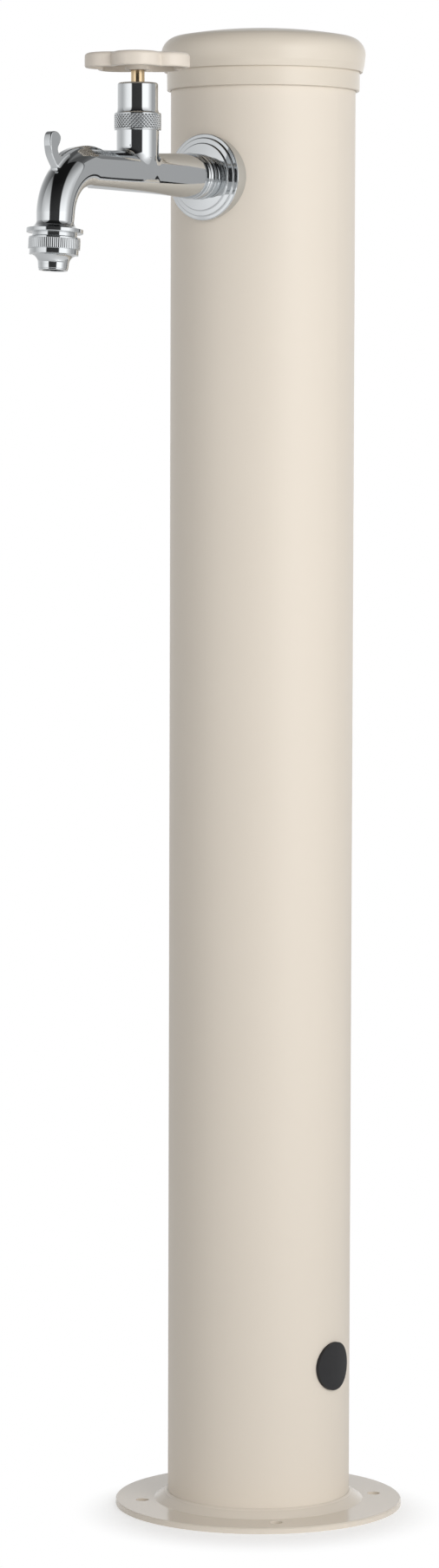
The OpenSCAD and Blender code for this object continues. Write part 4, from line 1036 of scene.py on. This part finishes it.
class FOUNTAIN_OT_rosette(bpy.types.Operator):
    """Make the stepped rosette, its back shaped to the column"""

    bl_idname = "fountain.rosette"
    bl_label = "Wall Rosette"

    def execute(self, context):
        settings = fountain(context)
        tap, sizes = settings.tap, settings.rosette
        column_r = tube_high.x + 0.05 * MM
        face, edge = tap.face_u, sizes.edge
        ring = face - sizes.ring_drop
        rim = ring - sizes.rim_drop
        hole, hub, wide = tap.tail_r + 0.3 * MM, tap.neck_r, sizes.rim_r
        back = face - 12 * MM
        slope = math.tan(sizes.face_tilt)

        def fit_column(spots):
            """Moves the flat back's points onto the column, the outer ones along the rosette's taper."""
            rows = spots.copy()
            for n in np.nonzero(np.isclose(rows[:, 2], back))[0]:
                x, y, _ = rows[n]
                reach = math.hypot(x, y)
                way_x, way_y = x / reach, y / reach
                u = math.sqrt(column_r**2 - x**2)
                if reach > hole * 1.2:
                    for _ in range(4):
                        radius = wide - sizes.taper * (rim - u) / sizes.taper_u
                        u = math.sqrt(column_r**2 - (radius * way_x) ** 2)
                    x, y = radius * way_x, radius * way_y
                rows[n] = (x, y, u)
            return rows

        def leant(radius, start, inner, rounding):
            """The outer edge of a step whose face leans back from its inner radius."""
            return radius, start - (radius - inner) * slope, edge * rounding

        foot, face_r, ring_r = 0.5 * MM, sizes.face_r, sizes.ring_r
        shape = [
            (hole, back, 0), (wide - sizes.taper * 0.4, back, 0), leant(wide, rim, ring_r, 1.6),
            (ring_r + foot, rim, edge * 0.8), (ring_r, rim + foot, edge * 0.4),
            leant(ring_r, ring, face_r, 1.4),
            (face_r + foot, ring, edge * 0.8), (face_r, ring + foot, edge * 0.4),
            leant(face_r, face, hub, 1.4), (hub, face, 0), (hole, face, 0),
        ]
        mesh = turned("wall_rosette", shape, along_tap(), 144, fit_column)
        piece = joined("wall_rosette", [mesh], finish_of("chrome_plate"))
        settle(piece, "column", "chrome_plate", "wall_rosette")
        return {"FINISHED"}


class FOUNTAIN_OT_bonnet(bpy.types.Operator):
    """Make the bonnet cover and roll its diamond knurl"""

    bl_idname = "fountain.bonnet"
    bl_label = "Bonnet Cover"

    def execute(self, context):
        settings = fountain(context)
        tap, sizes = settings.tap, settings.bonnet
        chrome = finish_of("chrome_plate")
        band_r, band_h, cover_r, cover_h = sizes.band_r, sizes.band_h, sizes.cover_r, sizes.cover_h
        base_r = band_r - sizes.knurl_depth - 0.1 * MM
        rim = 0.9 * MM
        low, high = 1.3 * MM, band_h - 1.2 * MM
        inner, hole, under = cover_r - sizes.wall, sizes.spindle_hole_r, cover_h - sizes.wall
        curve = swept((cover_r, band_h), band_r - cover_r - rim, sizes.flare_h, 0, 90, 11)
        shape = [
            (inner, 0, 0), (band_r, 0, rim), (band_r, low, 0.25 * MM), (base_r, low, 0), (base_r, high, 0),
            (band_r, high, 0.25 * MM), (band_r, band_h, rim), *curve[1:],
            (cover_r, cover_h, sizes.cover_edge), (hole, cover_h, 0.2 * MM), (hole, under, 0),
            (inner, under, 0.6 * MM),
        ]
        place = up_bonnet(tap.bonnet_neck_h)
        cover = turned("cover", shape, place, 160)
        steps = sizes.diamonds_round * 12
        blank = band_blank("knurl", low, high, band_r, base_r - 0.4 * MM, 48, steps)
        roll = {
            "Starts": sizes.diamonds_round,
            "Lead": sizes.diamond_h,
            "Depth": sizes.knurl_depth,
            "Band Radius": band_r - 0.1 * MM,
            "Low End": low - 0.3 * MM,
            "High End": high + 0.3 * MM,
            "Run Out": 0.3 * MM,
            "Finish": chrome,
        }
        knurl = worked("knurl", blank, knurled, roll, place, 70)
        piece = joined("bonnet_cover", [cover, knurl], chrome)
        settle(piece, "column", "chrome_plate", "bonnet_cover")
        return {"FINISHED"}


class FOUNTAIN_OT_nozzle(bpy.types.Operator):
    """Make the screw-on nozzle and its fluted grip"""

    bl_idname = "fountain.nozzle"
    bl_label = "Nozzle"

    def execute(self, context):
        sizes = fountain(context).nozzle
        chrome = finish_of("chrome_plate")
        top, grip_r, socket_r, floor = sizes.top_s, sizes.grip_r, sizes.socket_r, sizes.floor_s
        band = top + sizes.grip_len
        cone = band + sizes.band_len
        end = cone + sizes.cone_len + sizes.outlet_len
        lip, lip_r = 0.3 * MM, sizes.outlet_r - 0.3 * MM
        root_r = grip_r - 0.35 * MM
        curve = swept((sizes.cone_r, cone), sizes.band_r - lip - sizes.cone_r, sizes.cone_len, 0, 90, 13)
        shape = [
            (socket_r, top, 0.2 * MM), (grip_r, top, lip), (grip_r, top + 1.2 * MM, 0.2 * MM),
            (root_r, top + 1.3 * MM, 0), (root_r, band - 0.2 * MM, 0),
            (sizes.band_r, band, 0.1 * MM), (sizes.band_r, cone, lip), *curve,
            (sizes.outlet_r, end - 1.1 * MM, 0.15 * MM), (lip_r, end - 1 * MM, 0.1 * MM),
            (lip_r, end, 0.35 * MM), (sizes.jet_r, end, 0.5 * MM), (sizes.jet_r, floor, 0),
            (socket_r, floor, 0),
        ]
        shell = turned("shell", shape, down_spout(), 144)
        length = band - top - 1.6 * MM
        reeds = {
            "Flutes": sizes.flute_count,
            "Circle Radius": grip_r - sizes.flute_r,
            "Flute Radius": sizes.flute_r,
            "Flute Length": length,
            "Middle": (0.0, 0.0, top + 1.25 * MM + length / 2),
            "Finish": chrome,
        }
        flutes = worked("flutes", bpy.data.meshes.new("flutes"), fluted, reeds, down_spout(), 40)
        piece = joined("nozzle_shell", [shell, flutes], chrome)
        settle(piece, "nozzle", "chrome_plate", "nozzle_shell")
        return {"FINISHED"}


class FOUNTAIN_OT_wheel(bpy.types.Operator):
    """Make the lobed handwheel"""

    bl_idname = "fountain.wheel"
    bl_label = "Handwheel"

    def lobed(self, sizes, angles, inset):
        """How far the wheel's outline reaches at each angle, drawn in by an inset: found by halving."""
        low, high = np.full(len(angles), 10 * MM), np.full(len(angles), 40 * MM)
        for _ in range(30):
            reach = (low + high) / 2
            x, y = reach * np.cos(angles), reach * np.sin(angles)
            lobes = None
            for n in range(sizes.lobes):
                a = sizes.turn - math.pi / 2 + 2 * math.pi * n / sizes.lobes
                far_x, far_y = x - sizes.lobe_reach * math.cos(a), y - sizes.lobe_reach * math.sin(a)
                lobe = np.hypot(far_x, far_y) - sizes.lobe_r
                lobes = filleted(lobes, lobe, sizes.notch_r) if n else lobe
            distance = filleted(reach - sizes.core_r, lobes, sizes.notch_r)
            low, high = np.where(distance < -inset, reach, low), np.where(distance < -inset, high, reach)
        return (low + high) / 2

    def execute(self, context):
        settings = fountain(context)
        tap, sizes, steps = settings.tap, settings.wheel, 360
        angles = np.linspace(0, 2 * math.pi, steps, endpoint=False) + sizes.turn
        turned_by = angles - sizes.turn
        square = sizes.square / 2 / np.maximum(np.abs(np.cos(turned_by)), np.abs(np.sin(turned_by)))
        top, edge, low_edge, rim = sizes.thickness, sizes.edge, sizes.low_edge, sizes.recess_edge
        recess, wall, hollow = sizes.recess_r, sizes.wall, sizes.hollow
        floor, low_top, low_hub = top - sizes.recess_h, top - sizes.dome, -sizes.hub_drop
        hub, boss = np.full(steps, sizes.hub_r), np.full(steps, sizes.hub_hole_r)
        plateau, start = self.lobed(sizes, angles, edge + 0.25 * MM), recess + 0.8 * MM

        # Each ring is a radius at every angle and a height, from the square hole over the top and back below
        rings = [(square, floor), (recess - 0.3 * MM, floor), (recess, floor + 0.3 * MM), (recess, top - rim)]
        for a in np.radians([30, 60, 90]):
            rings.append((recess + rim * (1 - math.cos(a)), top - rim * (1 - math.sin(a))))
        for share in np.linspace(0, 1, 9):
            rings.append((start + (plateau - start) * share, top - sizes.dome * share**2))
        for a in np.radians(np.linspace(0, 90, 9)):
            around = self.lobed(sizes, angles, edge * (1 - math.sin(a)))
            rings.append((around, low_top - edge * (1 - math.cos(a)) - 0.08 * MM))
        for a in np.radians(np.linspace(0, 90, 7)):
            around = self.lobed(sizes, angles, low_edge * (1 - math.cos(a)))
            rings.append((around, low_edge * (1 - math.sin(a))))
        for inset, height in (
            (wall - 0.4 * MM, 0.0),
            (wall, 0.4 * MM),
            (wall + 0.2 * MM, hollow - 0.8 * MM),
            (wall + 1.0 * MM, hollow),
        ):
            rings.append((self.lobed(sizes, angles, inset), height))
        ceiling = rings[-1][0]
        rings += [(ceiling + (hub - ceiling) * share, hollow) for share in (0.33, 0.67, 0.97)]
        rings += [
            (hub, hollow - 0.6 * MM), (hub, low_hub + 0.8 * MM), (hub - 0.25 * MM, low_hub + 0.25 * MM),
            (hub - 0.8 * MM, low_hub), (boss, low_hub), (boss, 0.5 * MM), (square, 0.5 * MM),
        ]
        spots = np.concatenate(
            [np.stack([r * np.cos(angles), r * np.sin(angles), np.full(steps, h)], 1) for r, h in rings]
        )
        faces = [
            (i * steps + k, j * steps + k, j * steps + m, i * steps + m)
            for i, j in zip(range(len(rings)), [*range(1, len(rings)), 0])
            for k, m in zip(range(steps), [*range(1, steps), 0])
        ]
        mesh = bpy.data.meshes.new("handwheel")
        mesh.from_pydata(spots.tolist(), [], faces)
        mesh.transform(up_bonnet(sizes.low_z - tap.axis_z))
        mesh.shade_smooth()
        mesh.set_sharp_from_angle(angle=math.radians(38))
        piece = joined("handwheel", [mesh], finish_of("cream_enamel"))
        settle(piece, "spindle", "cream_enamel", "handwheel")
        return {"FINISHED"}


class FOUNTAIN_OT_cap(bpy.types.Operator):
    """Make the moulded cap with its skirt and dome"""

    bl_idname = "fountain.cap"
    bl_label = "Column Cap"

    def execute(self, context):
        sizes = fountain(context).cap
        low, bore_r, skirt_r, dome_r = sizes.low_z, sizes.bore_r, sizes.skirt_r, sizes.dome_r
        seam = low + sizes.skirt_h
        wide = seam + sizes.side_h
        lean, tilt = sizes.crown_tilt, math.degrees(sizes.crown_tilt)
        centre_r = sizes.wide_r - sizes.shoulder_r
        edge_r = centre_r + sizes.shoulder_r * math.cos(lean)
        edge_z = wide + sizes.shoulder_r * math.sin(lean)
        crown_r = edge_r / math.cos(lean)
        crown_z = edge_z - crown_r * math.sin(lean)
        top = tube_high.z
        inside = tube_high.x - 2 * MM
        in_shoulder, in_crown = sizes.shoulder_r - sizes.wall, crown_r - sizes.wall
        in_start = math.degrees(math.acos((inside - centre_r) / in_shoulder))
        shape = [
            (bore_r, low, 0.2 * MM), (skirt_r, low, 0.7 * MM), (skirt_r, seam + 1.4 * MM, 0.2 * MM),
            (dome_r - 0.6 * MM, seam + 1.0 * MM, 0.2 * MM), (dome_r, seam + 0.3 * MM, 0.5 * MM),
            (dome_r + 1.25 * MM, seam + 5 * MM, sizes.side_bow),
            *arc((centre_r, wide), sizes.shoulder_r, 0, tilt, 16),
            *arc((0, crown_z), crown_r, tilt, 90, 12)[1:-1],
            (0, crown_z + crown_r, 0), (0, crown_z + in_crown, 0),
            *arc((0, crown_z), in_crown, 90, tilt, 8)[1:],
            *arc((centre_r, wide), in_shoulder, tilt, in_start, 4)[1:],
            (inside, top, 0), (bore_r, top, 0),
        ]
        mesh = turned("top_cap", shape, Matrix.Identity(4), 192)
        piece = joined("top_cap", [mesh], finish_of("oyster_cap"))
        settle(piece, "cap", "oyster_cap", "top_cap")
        return {"FINISHED"}


class FOUNTAIN_OT_finishes(bpy.types.Operator):
    """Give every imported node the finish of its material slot"""

    bl_idname = "fountain.finishes"
    bl_label = "Finishes"

    def execute(self, context):
        slots = {slot["slot"] for slot in frame["record"]["materials"]}
        for name, node in frame["nodes"].items():
            for holder in node.material_slots:
                if holder.material is None:
                    raise RuntimeError(f"{name} has an empty material slot")
                slot = holder.material.name.split(".")[0]
                if slot in slots:
                    holder.material = finish_of(slot)
        return {"FINISHED"}


class FOUNTAIN_OT_studio(bpy.types.Operator):
    """Set up the white floor, the softbox, the room's light and the camera"""

    bl_idname = "fountain.studio"
    bl_label = "Studio"

    def execute(self, context):
        settings = fountain(context).studio
        scene = context.scene
        self.floor(settings)
        self.world(scene, settings)
        self.key(scene, settings)
        # A grey card, and a narrow dark one just in front of its far end, up to the barrel's height
        far = settings.card_distance
        self.card("grey_card", settings, (88, 119), far, settings.card_high, 0.52)
        self.card("card_edge", settings, (113, 119), far * 0.98, fountain(context).tap.axis_z, 0.03)
        self.camera(scene, settings)
        scene.view_settings.view_transform = "Standard"
        return {"FINISHED"}

    def bare(self, data):
        """The emptied node tree of a material or a world."""
        data.use_nodes = True
        data.node_tree.nodes.clear()
        return data.node_tree

    def floor(self, settings):
        """Painted board that keeps the shadow and turns to pure white away from the fountain."""
        mesh = bpy.data.meshes.new("studio_floor")
        side = settings.floor_side
        corners = [(-side, -side, 0), (side, -side, 0), (side, side, 0), (-side, side, 0)]
        mesh.from_pydata(corners, [], [(0, 1, 2, 3)])
        floor = place_object("studio_floor", mesh)
        material = bpy.data.materials.new("studio_white")
        tree = self.bare(material)
        place = add(tree, "ShaderNodeTexCoord").outputs["Object"]
        # The shade lies towards the camera
        a, ahead = settings.camera_azimuth, settings.shade_ahead
        middle = (math.sin(a) * ahead, -math.cos(a) * ahead, 0)
        reach = add(tree, "ShaderNodeVectorMath", {0: place, 1: middle}, operation="DISTANCE")
        edge = {"Value": reach, "From Min": settings.shade_near, "From Max": settings.shade_far}
        far = add(tree, "ShaderNodeMapRange", edge, interpolation_type="SMOOTHSTEP")
        matt = add(tree, "ShaderNodeBsdfDiffuse", {"Color": (0.8, 0.8, 0.8, 1)})
        path = add(tree, "ShaderNodeLightPath").outputs
        seen, mirrored = path["Is Camera Ray"], path["Is Glossy Ray"]
        straight = add(tree, "ShaderNodeMath", {0: seen, 1: mirrored}, operation="MAXIMUM")
        lift = add(tree, "ShaderNodeMath", {0: straight, 1: settings.floor_lift}, operation="MULTIPLY")
        glow = add(tree, "ShaderNodeEmission", {"Strength": lift})
        near = add(tree, "ShaderNodeAddShader", {0: matt, 1: glow})
        white = add(tree, "ShaderNodeEmission", {"Strength": 1.0})
        away = add(tree, "ShaderNodeMath", {0: far, 1: seen}, operation="MULTIPLY")
        both = add(tree, "ShaderNodeMixShader", {0: away, 1: near, 2: white})
        add(tree, "ShaderNodeOutputMaterial", {"Surface": both})
        mesh.materials.append(material)

    def world(self, scene, settings):
        """Even soft light; metal sees wide white boxes, a dark screen behind the camera and a dim ceiling."""
        scene.world = bpy.data.worlds.new("studio_room")
        tree = self.bare(scene.world)
        way = add(tree, "ShaderNodeTexCoord").outputs["Generated"]
        up = add(tree, "ShaderNodeSeparateXYZ", {"Vector": way}).outputs["Z"]
        a = settings.camera_azimuth
        to_right, to_camera = (math.cos(a), math.sin(a), 0), (math.sin(a), -math.cos(a), 0)
        side = add(tree, "ShaderNodeVectorMath", {0: way, 1: to_right}, operation="DOT_PRODUCT")
        ahead = add(tree, "ShaderNodeVectorMath", {0: way, 1: to_camera}, operation="DOT_PRODUCT")
        # In front the boxes and the dark screen run on overhead, so height counts as distance there
        plane = add(tree, "ShaderNodeCombineXYZ", {"X": ahead, "Y": up})
        reach = add(tree, "ShaderNodeVectorMath", {0: plane}, operation="LENGTH")
        front = add(tree, "ShaderNodeMath", {0: ahead, 1: 0.0}, operation="GREATER_THAN")
        depth = add(tree, "ShaderNodeMix", {"Factor": front, "A": ahead, "B": reach})
        turn = add(tree, "ShaderNodeMath", {0: side, 1: depth}, operation="ARCTAN2")
        share = add(tree, "ShaderNodeMath", {0: turn, 1: 2 * math.pi}, operation="DIVIDE")
        share = add(tree, "ShaderNodeMath", {0: share, 1: 0.5}, operation="ADD")
        ramp = add(tree, "ShaderNodeValToRGB", {"Fac": share})
        # What stands round the fountain, in degrees to the right of the camera, and half how bright it is
        walls = (
            (-180, 0.6), (-140, 0.42), (-118, 0.37), (-96, 0.32), (-84, 0.38), (-60, 0.62), (-36, 0.72),
            (-31, 0.025), (24, 0.03), (29, 0.8), (60, 0.79), (74, 0.5), (90, 0.27), (124, 0.27), (140, 0.42),
            (160, 0.6), (180, 0.6),
        )
        stops = ramp.color_ramp.elements
        stops.remove(stops[-1])
        for n, (bearing, level) in enumerate(walls):
            position = (bearing + 180) / 360
            stop = stops.new(position) if n else stops[0]
            stop.position = position
            stop.color = (level, level, level, 1)
        # The boxes fade overhead, and the dark screen between them stays dark
        heights = {"Value": up, "From Min": 0.05, "From Max": 0.8, "To Min": 2.0, "To Max": 0.4}
        fade = add(tree, "ShaderNodeMapRange", heights)
        seen = add(tree, "ShaderNodeMath", {0: ramp, 1: fade}, operation="MULTIPLY")
        # Less light comes from above than from the sides
        low, high = settings.ambient, settings.ambient * 0.12
        heights = {"Value": up, "From Min": 0.1, "From Max": 0.9, "To Min": low, "To Max": high}
        soft = add(tree, "ShaderNodeMapRange", heights, interpolation_type="SMOOTHSTEP")
        # And a little more from the left than from the right
        sides = {"Value": side, "From Min": -1.0, "From Max": 0.0, "To Min": 1.42, "To Max": 1.0}
        left = add(tree, "ShaderNodeMapRange", sides)
        soft = add(tree, "ShaderNodeMath", {0: soft, 1: left}, operation="MULTIPLY")
        path = add(tree, "ShaderNodeLightPath").outputs
        lit = add(tree, "ShaderNodeMix", {"Factor": path["Is Glossy Ray"], "A": soft, "B": seen})
        straight = {0: path["Is Camera Ray"], 1: path["Is Transmission Ray"]}
        plain = add(tree, "ShaderNodeMath", straight, operation="MAXIMUM")
        level = add(tree, "ShaderNodeMix", {"Factor": plain, "A": lit, "B": 1.0})
        sky = add(tree, "ShaderNodeBackground", {"Color": (1, 1, 1, 1), "Strength": level})
        add(tree, "ShaderNodeOutputWorld", {"Surface": sky})

    def key(self, scene, settings):
        """One large softbox to the right of the camera."""
        lamp = bpy.data.lights.new("softbox", "AREA")
        lamp.shape = "RECTANGLE"
        lamp.size, lamp.size_y = settings.key_width, settings.key_tall
        lamp.energy = settings.key_power
        box = bpy.data.objects.new("softbox", lamp)
        scene.collection.objects.link(box)
        a, d = settings.key_azimuth, settings.key_distance
        spot = Vector((math.sin(a) * d, -math.cos(a) * d, settings.key_height))
        aim = Vector((0, 0, settings.key_aim))
        box.location = spot
        box.rotation_euler = (aim - spot).to_track_quat("-Z", "Y").to_euler()
        box.visible_glossy = False

    def card(self, name, settings, span, reach, high, level):
        """Part of a curved card beside the tap, over a span to the camera's right, for metal to mirror."""
        tap = fountain(bpy.context).tap
        bearings = settings.camera_azimuth + np.radians(np.linspace(*span, 9))
        rows = [
            (math.sin(a) * reach, -math.cos(a) * reach - tap.bonnet_u, z)
            for a in bearings
            for z in (settings.card_low, high)
        ]
        mesh = bpy.data.meshes.new(name)
        strips = [(2 * n, 2 * n + 2, 2 * n + 3, 2 * n + 1) for n in range(len(bearings) - 1)]
        mesh.from_pydata(rows, [], strips)
        material = bpy.data.materials.new(name)
        tree = self.bare(material)
        glow = add(tree, "ShaderNodeEmission", {"Strength": level})
        add(tree, "ShaderNodeOutputMaterial", {"Surface": glow})
        mesh.materials.append(material)
        card = place_object(name, mesh)
        card.visible_camera = card.visible_diffuse = card.visible_shadow = False
        card.visible_transmission = False

    def camera(self, scene, settings):
        """The photograph's viewpoint."""
        data = bpy.data.cameras.new("camera")
        data.sensor_width = 36
        data.lens = settings.lens
        camera = bpy.data.objects.new("camera", data)
        scene.collection.objects.link(camera)
        a, d = settings.camera_azimuth, settings.camera_distance
        ahead = Vector((-math.sin(a), math.cos(a), 0))
        right = Vector((math.cos(a), math.sin(a), 0))
        up = Vector((0, 0, 1))

        def swung(first, second, turn):
            s, c = math.sin(turn), math.cos(turn)
            return first * c + second * s, second * c - first * s

        ahead, right = swung(ahead, right, settings.camera_yaw)
        ahead, up = swung(ahead, up, settings.camera_tilt)
        right, up = swung(right, up, settings.camera_roll)
        spot = Vector((math.sin(a) * d, -math.cos(a) * d, settings.camera_height))
        rows = [(right[n], up[n], -ahead[n], spot[n]) for n in range(3)]
        camera.matrix_world = Matrix(rows + [(0, 0, 0, 1)])
        scene.camera = camera


PIECES = (
    FOUNTAIN_OT_tap_body,
    FOUNTAIN_OT_rosette,
    FOUNTAIN_OT_bonnet,
    FOUNTAIN_OT_nozzle,
    FOUNTAIN_OT_wheel,
    FOUNTAIN_OT_cap,
    FOUNTAIN_OT_finishes,
    FOUNTAIN_OT_studio,
)


class FOUNTAIN_PT_sidebar(bpy.types.Panel):
    """The fountain's pieces"""

    bl_idname = "FOUNTAIN_PT_sidebar"
    bl_label = "Tap Fountain"
    bl_space_type = "VIEW_3D"
    bl_region_type = "UI"
    bl_category = "Fountain"

    def draw(self, context):
        for piece in PIECES:
            self.layout.operator(piece.bl_idname)


GROUPS = (
    TapSizes,
    RosetteSizes,
    BonnetSizes,
    NozzleSizes,
    WheelSizes,
    CapSizes,
    Finishes,
    StudioSettings,
    FountainSettings,
)


def register():
    for group in GROUPS + PIECES + (FOUNTAIN_PT_sidebar,):
        bpy.utils.register_class(group)
    bpy.types.Scene.tap_fountain = PointerProperty(type=FountainSettings)


def unregister():
    del bpy.types.Scene.tap_fountain
    for group in reversed(GROUPS + PIECES + (FOUNTAIN_PT_sidebar,)):
        bpy.utils.unregister_class(group)


def main():
    """Makes every piece in order."""
    register()
    bpy.ops.fountain.tap_body()
    bpy.ops.fountain.rosette()
    bpy.ops.fountain.bonnet()
    bpy.ops.fountain.nozzle()
    bpy.ops.fountain.wheel()
    bpy.ops.fountain.cap()
    bpy.ops.fountain.finishes()
    bpy.ops.fountain.studio()


if __name__ == "__main__":
    main()
